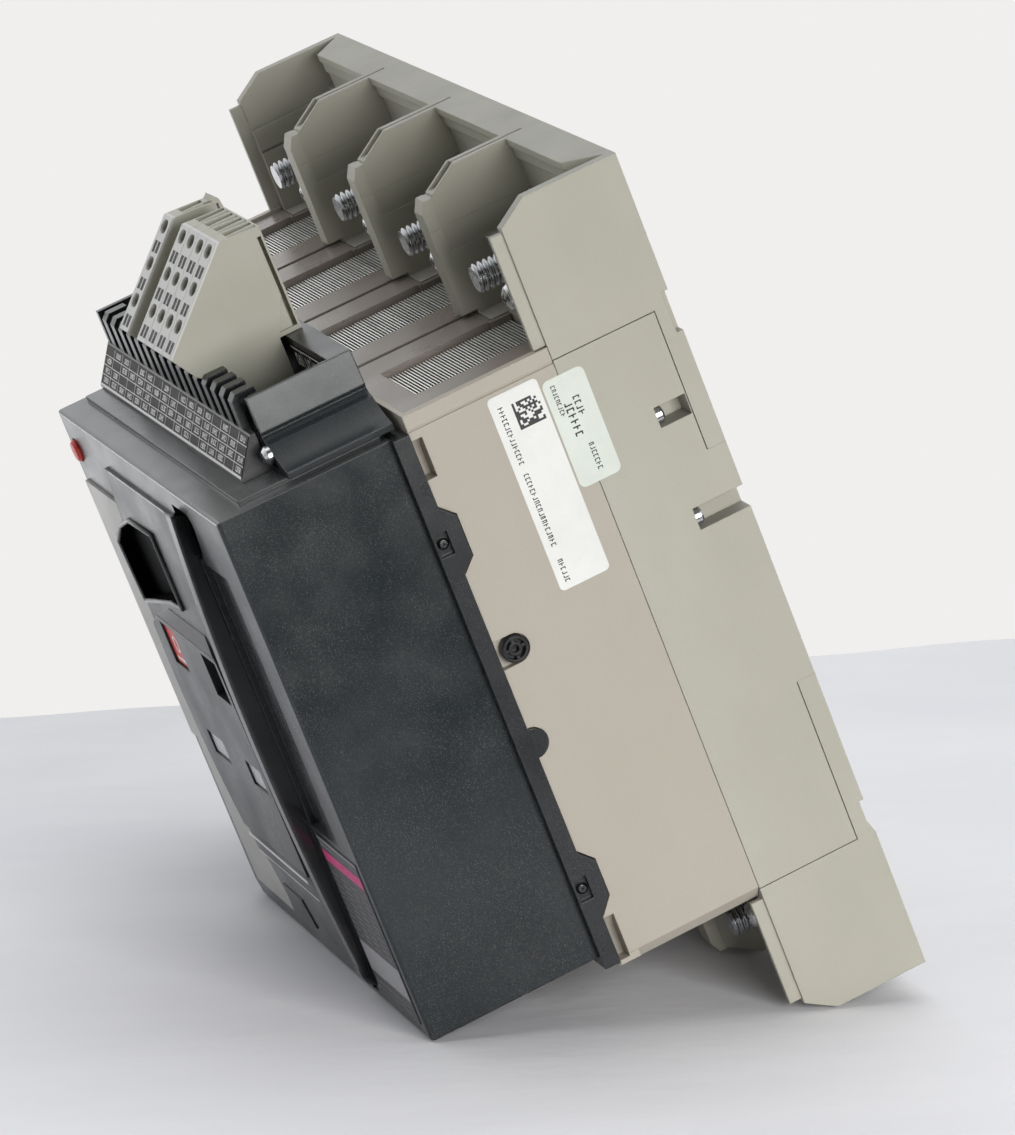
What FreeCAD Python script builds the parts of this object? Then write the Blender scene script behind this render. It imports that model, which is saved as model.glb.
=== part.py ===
import FreeCAD, Part
import math
import os
import re

import Sketcher

# Four-pole fixed industrial circuit breaker, in millimetres.
# +Z is up, +X is right seen from the front, and the front faces -Y.
# The origin is the centre of the rear mounting face. A name ending in _depth is
# a distance forwards from that face, and one ending in _drop is below the origin.

SIZES = {
    # overall shape
    "half_width": 140.0,
    "half_height": 145.0,
    "cover_depth": 159.0,
    "pole_pitch": 70.0,
    # depths of the big mouldings
    "base_depth": 42.5,
    "case_depth": 93.5,
    "frame_depth": 99.0,
    "flange_depth": 48.0,
    "bay_depth": 12.5,
    "wall_depth": 11.3,
    "lip_depth": 13.4,
    "leg_depth": 6.4,
    # heights of the horizontal seams
    "seam_top": 93.5,
    "seam_low": 96.0,
    "parting": 127.6,
    "case_top": 98.0,
    "case_low": 99.5,
    "shield_corner": 138.5,
    # walls, bays and chambers
    "inner_half": 135.8,
    "divider_half": 4.0,
    "bay_half": 31.7,
    "bay_low_half": 31.0,
    "bay_floor": 97.0,
    "ledge": 119.4,
    "chamber_half": 28.0,
    "case_half": 32.0,
    "slot_half": 16.0,
    # conductors
    "bar_front": 34.0,
    "bar_back": 26.0,
    "bar_half": 15.0,
    "pad_half": 21.0,
    "pad_low": 99.0,
    "pad_top": 122.0,
    "stud_height": 117.0,
    "stud_radius": 5.0,
    "screw_height": 111.5,
    "screw_offset": 15.0,
    # arc chutes
    "chute_front": 91.5,
    "chute_back": 42.9,
    "tongue_back": 36.4,
    "chute_top": 97.0,
    "chute_neck": 90.0,
    "chute_low": 62.0,
    "chute_limit": 136.6,
    "fin_half": 17.0,
    "fin_pitch": 1.08,
    "fin_thick": 0.42,
    "fin_top": 94.8,
    # moving contacts and their shaft
    "pivot_depth": 45.0,
    "pivot_drop": 24.0,
    "arm_length": 74.0,
    "arm_half": 7.0,
    "open_angle": 20.5,
    "shaft_depth": 82.0,
    "shaft_drop": 35.0,
    "shaft_radius": 7.0,
    "running_gap": 0.05,
    # front cover
    "cover_left": 48.0,
    "cover_right": 137.0,
    "cover_top": 92.0,
    "cover_low": 93.0,
    "cover_wall": 3.0,
    "panel_depth": 161.0,
    "panel_back": 156.0,
    # charging handle
    "handle_left": 80.6,
    "handle_right": 86.8,
    "handle_depth": 155.0,
    "handle_drop": 82.0,
    "hub_radius": 7.5,
    # mechanism
    "charge_depth": 125.0,
    "charge_height": 5.0,
    "charge_radius": 5.0,
    "latch_depth": 141.4,
    "latch_height": 28.7,
    "latch_radius": 2.0,
    "flag_depth": 148.6,
    "flag_drop": 22.5,
    "flag_radius": 6.5,
    # terminal tray on the top
    "tray_left": 46.0,
    "tray_right": 116.5,
    "tray_low": 93.5,
    "tray_top": 118.0,
    "column_pitch": 9.6,
    "module_wide": 9.4,
}

POLES = range(4)
SIDES = (1, -1)

doc = FreeCAD.newDocument("CircuitBreaker")
sheet = doc.addObject("Spreadsheet::Sheet", "Dims")
for row, (alias, size) in enumerate(SIZES.items(), start=1):
    sheet.set(f"A{row}", alias)
    sheet.set(f"B{row}", f"{size:g}")
    sheet.setAlias(f"B{row}", alias)
doc.recompute()

nodes = []


# ---------------------------------------------------------------- sizes as text

def number(size):
    """The value of a plain number or of a sum of products, such as '2*pole_pitch-3'."""
    if not isinstance(size, str):
        return float(size)
    total = 0.0
    for term in re.findall(r"[+-]?[^+-]+", size.replace(" ", "")):
        product = -1.0 if term.startswith("-") else 1.0
        for factor in term.lstrip("+-").split("*"):
            product *= SIZES[factor] if factor in SIZES else float(factor)
        total += product
    return total


def bind(thing, prop, size):
    """Drive a property from the spreadsheet."""
    thing.setExpression(prop, re.sub(r"[a-z]\w*", lambda word: "Dims." + word.group(), str(size)))


def between(low, high):
    """The distance from low to high."""
    return f"({high})-({low})"


def opposite(size):
    """The same size on the other side of zero."""
    text = str(size)
    if text[0] not in "+-":
        text = "+" + text
    return text.translate(str.maketrans("+-", "-+")).lstrip("+")


def span(sign, low, high):
    """A range on the positive side, or its mirror image on the negative side."""
    return (low, high) if sign > 0 else (opposite(high), opposite(low))


def pole(index, offset=0):
    """A position along X, measured from the centre of a pole. Pole 0 is at the left."""
    return f"{index - 1.5:g}*pole_pitch{offset:+g}"


def pole_span(index, half):
    """The range along X within a named half width of a pole's centre."""
    return f"{pole(index)}-{half}", f"{pole(index)}+{half}"


# ---------------------------------------------------------------- solid makers

TURNS = {
    "X": FreeCAD.Rotation(FreeCAD.Vector(0, 1, 0), 90),
    "Y": FreeCAD.Rotation(FreeCAD.Vector(1, 0, 0), -90),
    "-Y": FreeCAD.Rotation(FreeCAD.Vector(1, 0, 0), 90),
    "Z": FreeCAD.Rotation(),
}
PLANES = {"XY": 1, "XZ": -1, "YZ": 1}


def block(name, x, y, z):
    """A box between pairs of positions along X, Y and Z."""
    box = doc.addObject("Part::Box", name)
    for side, letter, (low, high) in zip(("Length", "Width", "Height"), "xyz", (x, y, z)):
        bind(box, f"Placement.Base.{letter}", low)
        bind(box, side, between(low, high))
    return box


def rod(name, direction, start, radius, length):
    """A cylinder from a start point along one direction."""
    cylinder = doc.addObject("Part::Cylinder", name)
    cylinder.Placement = FreeCAD.Placement(FreeCAD.Vector(), TURNS[direction])
    for letter, position in zip("xyz", start):
        bind(cylinder, f"Placement.Base.{letter}", position)
    bind(cylinder, "Radius", radius)
    bind(cylinder, "Height", length)
    return cylinder


def pin_down(sketch, edge, end, letter, position):
    """The constraint that holds one end of an edge at a position along one sketch axis."""
    place = number(position)
    if abs(place) < 1e-9:
        axis = -2 if letter == "X" else -1
        return Sketcher.Constraint("PointOnObject", edge, end, axis), None
    if place > 0:
        return Sketcher.Constraint("Distance" + letter, -1, 1, edge, end, place), str(position)
    return Sketcher.Constraint("Distance" + letter, edge, end, -1, 1, -place), f"-({position})"


def outline(body, name, plane, points, offset):
    """A closed sketch. A point is (a, b), or (a, b, middle) where an arc through middle ends."""
    sketch = body.newObject("Sketcher::SketchObject", name)
    role = plane + "_Plane"
    origin_plane = next(feature for feature in body.Origin.OriginFeatures if feature.Role == role)
    sketch.AttachmentSupport = [(origin_plane, "")]
    sketch.MapMode = "FlatFace"
    bind(sketch, "AttachmentOffset.Base.z", offset)
    places = [FreeCAD.Vector(number(point[0]), number(point[1]), 0) for point in points]
    count = len(points)
    edges = []
    for index in range(count):
        arrival = points[(index + 1) % count]
        first, last = places[index], places[(index + 1) % count]
        if len(arrival) == 3:
            middle = FreeCAD.Vector(arrival[2][0], arrival[2][1], 0)
            edges.append(Part.Arc(first, middle, last))
        else:
            edges.append(Part.LineSegment(first, last))
    sketch.addGeometry(edges, False)

    def end_at(edge, place):
        return 1 if sketch.getPoint(edge, 1).distanceToPoint(place) < 1e-6 else 2

    constraints = []
    for index in range(count):
        end = end_at(index, places[index])
        before = (index - 1) % count
        joint = Sketcher.Constraint("Coincident", before, end_at(before, places[index]), index, end)
        constraints.append((joint, None))
        constraints.append(pin_down(sketch, index, end, "X", points[index][0]))
        constraints.append(pin_down(sketch, index, end, "Y", points[index][1]))
        if len(points[(index + 1) % count]) == 3:
            radius = sketch.Geometry[index].Radius
            constraints.append((Sketcher.Constraint("Radius", index, radius), None))
    sketch.addConstraint([constraint for constraint, text in constraints])
    for place, (constraint, text) in enumerate(constraints):
        if text and re.search(r"[a-z]", text):
            bind(sketch, f"Constraints[{place}]", text)
    return sketch


def prism(name, plane, points, low, high):
    """A pad of a closed outline between two positions along the axis square to its plane."""
    body = doc.addObject("PartDesign::Body", name)
    offset = low if PLANES[plane] > 0 else f"-({high})"
    sketch = outline(body, name + "_outline", plane, points, offset)
    pad = body.newObject("PartDesign::Pad", name + "_pad")
    pad.Profile = sketch
    bind(pad, "Length", between(low, high))
    return body


def turned(name, profile, place, direction):
    """A solid of revolution: the profile's points are (radius, distance along the axis)."""
    body = doc.addObject("PartDesign::Body", name)
    sketch = outline(body, name + "_profile", "XZ", profile, 0)
    revolution = body.newObject("PartDesign::Revolution", name + "_revolution")
    revolution.Profile = sketch
    revolution.ReferenceAxis = (sketch, ["V_Axis"])
    revolution.Angle = 360
    body.Placement = FreeCAD.Placement(FreeCAD.Vector(), TURNS[direction])
    for letter, position in zip("xyz", place):
        bind(body, f"Placement.Base.{letter}", position)
    return body


def join(name, pieces):
    """One solid from pieces that overlap or touch."""
    if len(pieces) == 1:
        return pieces[0]
    fusion = doc.addObject("Part::MultiFuse", name)
    fusion.Shapes = pieces
    fusion.Refine = True
    return fusion


def cut(name, base, tools):
    """A solid with other solids taken out of it."""
    difference = doc.addObject("Part::Cut", name)
    difference.Base = base
    difference.Tool = join(name + "_tools", tools)
    difference.Refine = True
    return difference


def group(name, pieces):
    """Separate solids that share one node."""
    compound = doc.addObject("Part::Compound", name)
    compound.Links = pieces
    return compound


def rounded(name, base, radius, choose):
    """Fillet the straight or round edges of a solid that choose picks."""
    doc.recompute()
    fillet = doc.addObject("Part::Fillet", name)
    fillet.Base = base
    picked = [i for i, edge in enumerate(base.Shape.Edges, start=1) if choose(edge)]
    fillet.Edges = [(i, radius, radius) for i in picked]
    return fillet


def node(thing, label):
    """Name a finished piece."""
    thing.Label = label
    nodes.append(thing)
    return thing


# ---------------------------------------------------------------- rear base and terminal shields

def bay_span(index, half, wall):
    """The range along X of one terminal bay, with its own wall at either end of the row."""
    low, high = pole_span(index, half)
    if index == 0:
        low = f"-inner_half+{wall}"
    if index == 3:
        high = f"inner_half-{wall}"
    return low, high


def rear_base():
    """The rear moulding: chambers behind, and the lower half of each terminal bay."""
    depth = ("-base_depth", 0)
    inner = ("-inner_half", "inner_half")
    solids = [block("base_middle", ("-half_width", "half_width"), depth, ("-seam_low", "seam_top"))]
    solids.append(block("base_above", inner, depth, ("seam_top", "parting")))
    solids.append(block("base_below", inner, depth, ("-parting", "-seam_low")))
    for divider in (-1, 0, 1):
        across = (f"{divider}*pole_pitch-divider_half", f"{divider}*pole_pitch+divider_half")
        for sign in SIDES:
            height = span(sign, "case_low+0.4" if sign < 0 else "case_top+0.4", "parting")
            solids.append(block(f"base_flange_{divider + 1}{sign + 1}", across,
                                ("-flange_depth", "-base_depth"), height))
    tools = []
    for index in POLES:
        chamber = pole_span(index, "chamber_half")
        slot = pole_span(index, "slot_half")
        tools.append(block(f"base_chamber_{index}", chamber, ("-base_depth-1", -20), (-88, 88)))
        tools.append(block(f"base_well_{index}", pole_span(index, "22"), (-20.5, -8), (-88, 88)))
        for sign in SIDES:
            tag = f"{index}{sign + 1}"
            tools.append(block("base_bay_" + tag, bay_span(index, "bay_half", 1.5),
                               ("-base_depth-1", "-bay_depth"), span(sign, "ledge", "parting+1")))
            tools.append(block("base_bay_low_" + tag, bay_span(index, "bay_low_half", 2.2),
                               ("-base_depth-1", "-bay_depth"), span(sign, "bay_floor", "ledge+1")))
            tools.append(block("base_recess_" + tag, bay_span(index, "bay_low_half", 2.2),
                               ("-bay_depth-1", "-wall_depth"), span(sign, "bay_floor", "parting+1")))
            tools.append(block("base_seam_" + tag, bay_span(index, "bay_half+0.7", 0.8),
                               ("-base_depth-1", "-wall_depth"), span(sign, "ledge-0.6", "ledge+0.1")))
            if sign > 0:
                tools.append(block("base_tongue_room_" + tag, (pole(index, -19.6), pole(index, 19.6)),
                                   (-43.5, "-tongue_back+0.3"), (87, 98)))
            tools.append(block("base_slot_" + tag, slot, ("-bar_front", "-bar_back"),
                               span(sign, 87, "bay_floor+1")))
    for sign in SIDES:
        tag = f"{sign + 1}"
        tools.append(block("base_window_" + tag, span(sign, 131, 141), (-18, -7), (58, 65)))
        tools.append(block("base_groove_" + tag, span(sign, 132, 141), (-18, 1), (22, 29.5)))
        tools.append(block("base_leg_room_" + tag, span(sign, "inner_half", 141),
                           ("-leg_depth", 1), (45, "seam_top+1")))
        tools.append(block("base_low_leg_room_" + tag, span(sign, "inner_half", 141),
                           ("-leg_depth", 1), ("-seam_low-1", -38.3)))
        tools.append(block("base_gap_high_" + tag, span(sign, "inner_half", 141), ("-base_depth-1", 1),
                           ("seam_top-0.3", "seam_top+1")))
        tools.append(block("base_gap_low_" + tag, span(sign, "inner_half", 141), ("-base_depth-1", 1),
                           ("-seam_low-1", "-seam_low+0.3")))
        tools.append(block("base_leg_gap_" + tag, span(sign, "inner_half", 141),
                           ("-leg_depth-0.3", 0), (45, "seam_top")))
        tools.append(block("base_low_leg_gap_" + tag, span(sign, "inner_half", 141),
                           ("-leg_depth-0.3", 0), ("-seam_low", -38.3)))
        tools.append(block("base_notch_low_" + tag, span(sign, 120, 141), (-1.6, 1), (-96.1, -84.5)))
        tools.append(rod("base_screw_hole_a" + tag, "Y", (sign * 136.5, -30, 61.5), 1.5, 13))
        tools.append(rod("base_screw_hole_b" + tag, "Y", (sign * 136.5, -30, 25.7), 1.5, 13))
        for level in (60, -60):
            tools.append(rod(f"base_fixing_{tag}{level + 60}", "-Y", (sign * 70, 1, level), 2.6, 11))
    return cut("rear_base", join("base_body", solids), tools)


def terminal_shield(name, sign, seam, leg):
    """A comb of barriers between the terminal bays, with a band along the rear."""
    side = [("-base_depth", seam), ("-base_depth", "shield_corner"),
            ("-base_depth+8.5", "half_height-1"), ("-base_depth+10", "half_height"),
            (0, "half_height"), (0, seam)]
    flip = [(y, z if sign > 0 else opposite(z)) for y, z in side]
    solids = [prism(name + "_body", "YZ", flip, "-half_width", "half_width")]
    for centre in (-70, 0, 70):
        flange = [("-flange_depth", 127.6), ("-flange_depth", 134), ("-flange_depth+2", 138),
                  ("-base_depth", 138), ("-base_depth", 127.6)]
        flange = [(y, sign * z) for y, z in flange]
        solids.append(prism(f"{name}_flange_{centre + 70}", "YZ", flange, centre - 4, centre + 4))
    for side_sign in SIDES:
        solids.append(block(f"{name}_lip_{side_sign + 1}", span(side_sign, 136.8, 138.8),
                            (-46.7, -41.5), span(sign, "case_low+0.4" if sign < 0 else "case_top+0.4",
                                                 137)))
    for side_sign in SIDES:
        solids.append(block(f"{name}_leg_{side_sign + 1}", span(side_sign, "inner_half", "half_width"),
                            ("-leg_depth", 0), span(sign, leg, f"{seam}+1")))
    tools = [block(name + "_room", ("-inner_half", "inner_half"), ("-base_depth-0.01", 1),
                   span(sign, "seam_top-5", "parting"))]
    for index in POLES:
        low, high = pole_span(index, "bay_half")
        if index == 0:
            low = "-half_width+4"
        if index == 3:
            high = "half_width-4"
        tools.append(block(f"{name}_bay_{index}", (low, high), ("-base_depth-1", "-bay_depth"),
                           span(sign, 90, "half_height-2.6")))
        tools.append(block(f"{name}_mouth_{index}", (low, high), ("-base_depth-1", "-lip_depth"),
                           span(sign, 140, "half_height+1")))
        tools.append(block(f"{name}_recess_{index}", (low, high), ("-bay_depth-1", "-wall_depth"),
                           span(sign, 120, 138)))
    for centre in (-1, 0, 1):
        tools.append(block(f"{name}_slit_{centre + 1}", (f"{centre}*pole_pitch-0.7",
                                                         f"{centre}*pole_pitch+0.7"),
                           ("-base_depth-1", -6.5), span(sign, 140, 146)))
        tools.append(block(f"{name}_gape_{centre + 1}", (f"{centre}*pole_pitch-2",
                                                         f"{centre}*pole_pitch+2"),
                           ("-base_depth-1", -32), span(sign, 139, 146)))
    for side_sign in SIDES:
        corner = [(side_sign * 136, -13.5), (side_sign * 136, -2.5), (side_sign * 124.5, -13.5)]
        tools.append(prism(f"{name}_corner_{side_sign + 1}", "XY", corner, *span(sign, 130, 146)))
    notch = [(-1.6, 84.5), (-1.6, 91.5), (0, 96.4), (1, 96.4), (1, 84.5)]
    if sign > 0:
        notch = [(-2.2, 84), (-2.2, 98), (1, 98), (1, 84)]
    for side_sign in SIDES:
        tools.append(prism(f"{name}_notch_{side_sign + 1}", "YZ", [(y, sign * z) for y, z in notch],
                           *span(side_sign, 120, 141)))
    return cut(name, join(name + "_solid", solids), tools)


node(rear_base(), "rear_base")
node(terminal_shield("upper_terminal_shield", 1, "seam_top", 45), "upper_terminal_shield")
node(terminal_shield("lower_terminal_shield", -1, "seam_low", 38.3), "lower_terminal_shield")

side_screws = []
for sign in SIDES:
    for level in (61.5, 25.7):
        profile = [(0, 0), (1.5, 0), (1.5, 12), (3, 12), (3, 14.2), (2.2, 15), (0, 15)]
        side_screws.append(turned(f"side_screw_{sign + 1}{level:.0f}", profile,
                                  (sign * 136.5, -30, level), "Y"))
node(group("base_side_screws", side_screws), "base_side_screws")


# ---------------------------------------------------------------- pole case and arc chutes

EAR_HIGH = [(-94.5, 66.5), (-93.5, 66.5), (-89, 62), (-89, 48), (-93.5, 43.5), (-94.5, 43.5)]
EAR_LOW = [(-94.5, -56.5), (-93.5, -56.5), (-89, -61.3), (-89, -74), (-93.5, -79.7), (-94.5, -79.7)]


def grown(points, gap):
    """The outline of an ear with a gap all round it."""
    middle = sum(z for _, z in points) / len(points)
    return [(y + gap, z + math.copysign(gap, z - middle)) for y, z in points]


def pole_case():
    """The middle moulding: four chambers, open at the front and rear."""
    depth = ("-case_depth", "-base_depth-0.2")
    through = ("-case_depth-1", "-base_depth+1")
    body = block("case_body", ("-half_width", "half_width"), depth, ("-case_low", "case_top"))
    tools, pads, corners = [], [], []
    for index in POLES:
        tools.append(block(f"case_chamber_{index}", pole_span(index, "case_half"), through,
                           (-94, "chute_neck")))
    tools.append(block("case_mouth", ("-chute_limit-0.2", "chute_limit+0.2"),
                       ("-chute_front-0.2", "-base_depth+1"), ("chute_neck-0.1", "case_top+1")))
    for divider in (-1, 0, 1):
        tools.append(rod(f"case_bearing_{divider + 1}", "X",
                         (70 * divider - 10, "-shaft_depth", "-shaft_drop"), "shaft_radius+running_gap",
                         20))
    for sign in SIDES:
        tag = f"{sign + 1}"
        side = span(sign, 137.2, 141)
        tools.append(block("case_boss_slot_" + tag, side, (-94.5, -87.5), (9, 19)))
        tools.append(rod("case_boss_round_" + tag, "X", (-141 if sign < 0 else 137.2, -87.5, 14), 5, 3.8))
        for level, room in (("high", EAR_HIGH), ("low", EAR_LOW)):
            tools.append(prism(f"case_ear_{level}_{tag}", "YZ", grown(room, 0.3), *side))
        tools.append(rod("case_tab_" + tag, "X", (-141 if sign < 0 else 137.2, -93.5, -17), 5.3, 3.8))
        for level, low, high, pad in (("high", 76, 89.6, (74.5, 89.7)),
                                      ("low", -96.4, -80.6, (-98, -80.1))):
            pads.append(block(f"case_pad_{level}_{tag}", span(sign, 129, 139.5), ("-case_depth", -86.4),
                              pad))
            ramp = [(sign * 134, low), (sign * 141, low), (sign * 141, high), (sign * 138.6, high),
                    (sign * 134, low + 6, (sign * 135.2, low + 11))]
            corners.append(prism(f"case_corner_{level}_{tag}", "XZ", ramp, -94.5, -89.9))
        tools.append(block("case_step_" + tag, span(sign, 139.5, 141), through, (92.4, 93.1)))
        edge = [(sign * 135.5, -99.6), (sign * 140.1, -95), (sign * 140.1, -99.6)]
        tools.append(prism("case_chamfer_" + tag, "XZ", edge, *through))
    return cut("pole_case", join("case_with_pads", [cut("case_hollow", body, tools)] + pads), corners)


def chute_frame(index):
    """The insulating frame round one stack of splitter plates."""
    low, high = pole_span(index, "33.6")
    if index == 0:
        low = "-chute_limit"
    if index == 3:
        high = "chute_limit"
    depth = ("-chute_front", "-chute_back")
    cap = block(f"chute_cap_{index}", (low, high), depth, ("chute_neck", "chute_top"))
    neck = block(f"chute_neck_{index}", pole_span(index, "31.5"), (-86, "-chute_back"),
                 ("chute_low", "chute_neck"))
    tongue = block(f"chute_tongue_{index}", (pole(index, -19.3), pole(index, 19.3)),
                   (-43.5, "-tongue_back"),
                   ("chute_low+2", "chute_top-0.3"))
    solid = join(f"chute_solid_{index}", [cap, neck, tongue])
    stack = (-82.6, "-tongue_back+1")
    tools = [block(f"chute_well_{index}", pole_span(index, "fin_half"), stack,
                   ("chute_low-1", "chute_top+1"))]
    tools.append(block(f"chute_gap_{index}", (pole(index, -18.4), pole(index, -16)), (-82.6, -44),
                       (88, "chute_top+1")))
    return cut(f"chute_{index}", solid, tools)


def splitter_stack(index):
    """Thin steel plates, parallel to the front, that cool the arc of one pole."""
    across = pole_span(index, "fin_half")
    plates = []
    for plate in range(42):
        start = f"-82+{plate}*fin_pitch"
        plates.append(block(f"fin_{index}_{plate}", across, (start, start + "+fin_thick"),
                            ("chute_low+2", "fin_top")))
    return group(f"fins_{index}", plates)


node(pole_case(), "pole_case")
for index in POLES:
    node(chute_frame(index), f"arc_chute_frame_{index + 1}")
    node(splitter_stack(index), f"splitter_plates_{index + 1}")

boss_ring = turned("boss_ring", [(0, 0), (4.5, 0), (4.5, 3), (3.9, 3.6), (3.4, 3.6), (3.4, 1.2),
                                 (2.2, 1.2),
                                 (2.2, 3.3), (0, 3.3)], (137.2, -87.5, 14), "X")
spokes = [block("boss_spoke_a", (138, 140.2), (-88.1, -86.9), (10.3, 17.7)),
          block("boss_spoke_b", (138, 140.2), (-91.2, -83.8), (13.4, 14.6))]
boss_socket = rod("boss_socket", "X", (138.4, -87.5, 14), 1.3, 3)
node(cut("boss", join("boss_solid", [boss_ring] + spokes), [boss_socket]), "key_boss")


# ---------------------------------------------------------------- conductors

def terminal(index, sign, reach):
    """A copper bar with a wide pad in the terminal bay, and its narrow neck inside."""
    x_low, x_high = pole_span(index, "pad_half")
    neck_low, neck_high = pole_span(index, "bar_half")
    depth = ("-bar_front", "-bar_back")
    tag = f"{index}{sign + 1}"
    pad = block("pad_" + tag, (x_low, x_high), depth, span(sign, "pad_low", "pad_top"))
    neck = block("neck_" + tag, (neck_low, neck_high), depth, span(sign, reach, "pad_low"))
    pieces = [pad, neck]
    if sign > 0:
        pieces.append(block("contact_" + tag, (pole(index, -11), pole(index, 11)), (-38, -33.9), (40, 52)))
    else:
        for cheek in SIDES:
            pieces.append(block(f"cheek_{tag}{cheek + 1}", (pole(index, 11 * cheek - 2),
                                                            pole(index, 11 * cheek + 2)),
                                (-52, -33.9), (-34, -14)))
    bar = join("bar_" + tag, pieces)
    holes = [rod("stud_hole_" + tag, "Y", (pole(index), -35, f"{sign}*stud_height"), "stud_radius+0.05",
                 12),
             rod("screw_hole_" + tag, "Y", (f"{pole(index)}+screw_offset", -35, f"{sign}*screw_height"),
                 2.55, 12)]
    if sign < 0:
        holes.append(rod("pivot_hole_" + tag, "X", (pole(index, -16), "-pivot_depth", "-pivot_drop"),
                         "3+running_gap", 32))
    return cut("terminal_" + tag, bar, holes)


for index in POLES:
    node(terminal(index, 1, 40), f"upper_terminal_{index + 1}")
for index in POLES:
    node(terminal(index, -1, 16), f"lower_terminal_{index + 1}")

studs = []
screws = []
for sign in SIDES:
    for index in POLES:
        tag = f"{index}{sign + 1}"
        stud = [(0, -5), (8, -5), (8, 0), ("stud_radius-0.2", 0), ("stud_radius-0.2", 8.4),
                ("stud_radius", 8.6),
                ("stud_radius", 20.5), (4.2, 21.5), (0, 21.5)]
        studs.append(turned("stud_" + tag, stud, (pole(index), "-bar_back", f"{sign}*stud_height"), "-Y"))
        head = [(0, 0), (2.5, 0), (2.5, 12), (5, 12), (5, 13.2), (4.4, 13.2), (4.4, 20.4), (3.8, 21.8),
                (2, 22.7),
                (0, 22.8)]
        place = (f"{pole(index)}+screw_offset", "-bar_back+4", f"{sign}*screw_height")
        screws.append(turned("screw_" + tag, head, place, "-Y"))
node(group("studs", studs), "terminal_studs")
node(group("round_screws", screws), "terminal_screws")

transformers = []
for index in POLES:
    ring = block(f"ring_{index}", (pole(index, -21), pole(index, 21)), (-41, -21), (-80, -56))
    passage = block(f"passage_{index}", pole_span(index, "bar_half"),
                    ("-bar_front", "-bar_back"), (-81, -55))
    transformers.append(cut(f"transformer_{index}", ring, [passage]))
node(group("transformers", transformers), "current_transformers")


def moving_contact(index):
    """A contact arm with its pivot pin, tilted forwards into the open position."""
    arm = block(f"arm_{index}", ("-arm_half", "arm_half"), (-4, 4), (0, "arm_length"))
    tip = block(f"tip_{index}", ("-arm_half-2", "arm_half+2"), (0, 6.5), (62, "arm_length"))
    hub = rod(f"arm_hub_{index}", "X", ("-arm_half-1.6", 0, 0), 8, "2*arm_half+3.2")
    pin = rod(f"arm_pin_{index}", "X", (-13, 0, 0), 3, 26)
    contact = join(f"contact_arm_{index}", [arm, tip, hub, pin])
    contact.Placement = FreeCAD.Placement(FreeCAD.Vector(), FreeCAD.Rotation(FreeCAD.Vector(1, 0, 0), 1))
    bind(contact, "Placement.Rotation.Angle", "open_angle")
    bind(contact, "Placement.Base.x", pole(index))
    bind(contact, "Placement.Base.y", "-pivot_depth")
    bind(contact, "Placement.Base.z", "-pivot_drop")
    return contact


for index in POLES:
    node(moving_contact(index), f"moving_contact_{index + 1}")

shaft_pieces = [rod("shaft_bar", "X", (-124, "-shaft_depth", "-shaft_drop"), "shaft_radius", 248)]
for index in POLES:
    for hand in SIDES:
        lever = [(-89.5, -35), (-77, -35), (-82.5, -10), (-88.5, -10)]
        centre = 70 * (index - 1.5) + 14 * hand
        shaft_pieces.append(rod(f"lever_hub_{index}{hand + 1}", "X",
                                (centre - 2, "-shaft_depth", "-shaft_drop"),
                                10.5, 4))
        shaft_pieces.append(prism(f"lever_{index}{hand + 1}", "YZ", lever, centre - 2, centre + 2))
node(join("shaft", shaft_pieces), "pole_shaft")


# ---------------------------------------------------------------- mounting frame and its screws

def mounting_frame():
    """The black front flange of the pole case, with its ears, tabs and mechanism opening."""
    plate = block("frame_plate", (-140.4, 140.4), ("-frame_depth", "-case_depth"), (-96.5, "cover_top"))
    solids = [plate]
    tools = [block("frame_opening", (-25, 75), (-100, -93), (-60, 60))]
    for sign in SIDES:
        low, high = (137.4, 140.4) if sign > 0 else (-140.4, -137.4)
        for tag, ear, middle in (("high", EAR_HIGH, 55), ("low", EAR_LOW, -68.5)):
            solids.append(prism(f"ear_{tag}{sign + 1}", "YZ", ear, low, high))
            slot = (138.4, 141) if sign > 0 else (-141, -138.4)
            tools.append(block(f"ear_slot_{tag}{sign + 1}", slot, (-98.3, -93.8),
                               (middle - 4, middle + 4)))
        solids.append(rod(f"frame_tab_{sign + 1}", "X", (low, "-case_depth", -17), 5, 3))
    return cut("frame", join("frame_solid", solids), tools)


node(mounting_frame(), "mounting_frame")

SCREW_HEAD = [(0, 0), (1.9, 0), (1.9, 0.8), (1.2, 1.3), (0, 1.4)]
ear_screws = [turned(f"ear_screw_{level + 100:.0f}", SCREW_HEAD, (138.4, -96, level), "X")
              for level in (55, -68.5)]
TRAY_SCREW = [(0, 0), (1.6, 0), (1.6, 6), (3.1, 6), (3.1, 7.4), (2, 8.6), (0, 9)]
ear_screws.append(turned("tray_screw", TRAY_SCREW, (121.5, -126, 99.8), "-Y"))
node(group("small_screws", ear_screws), "cross_head_screws")


# ---------------------------------------------------------------- front cover and what is set in it

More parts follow.
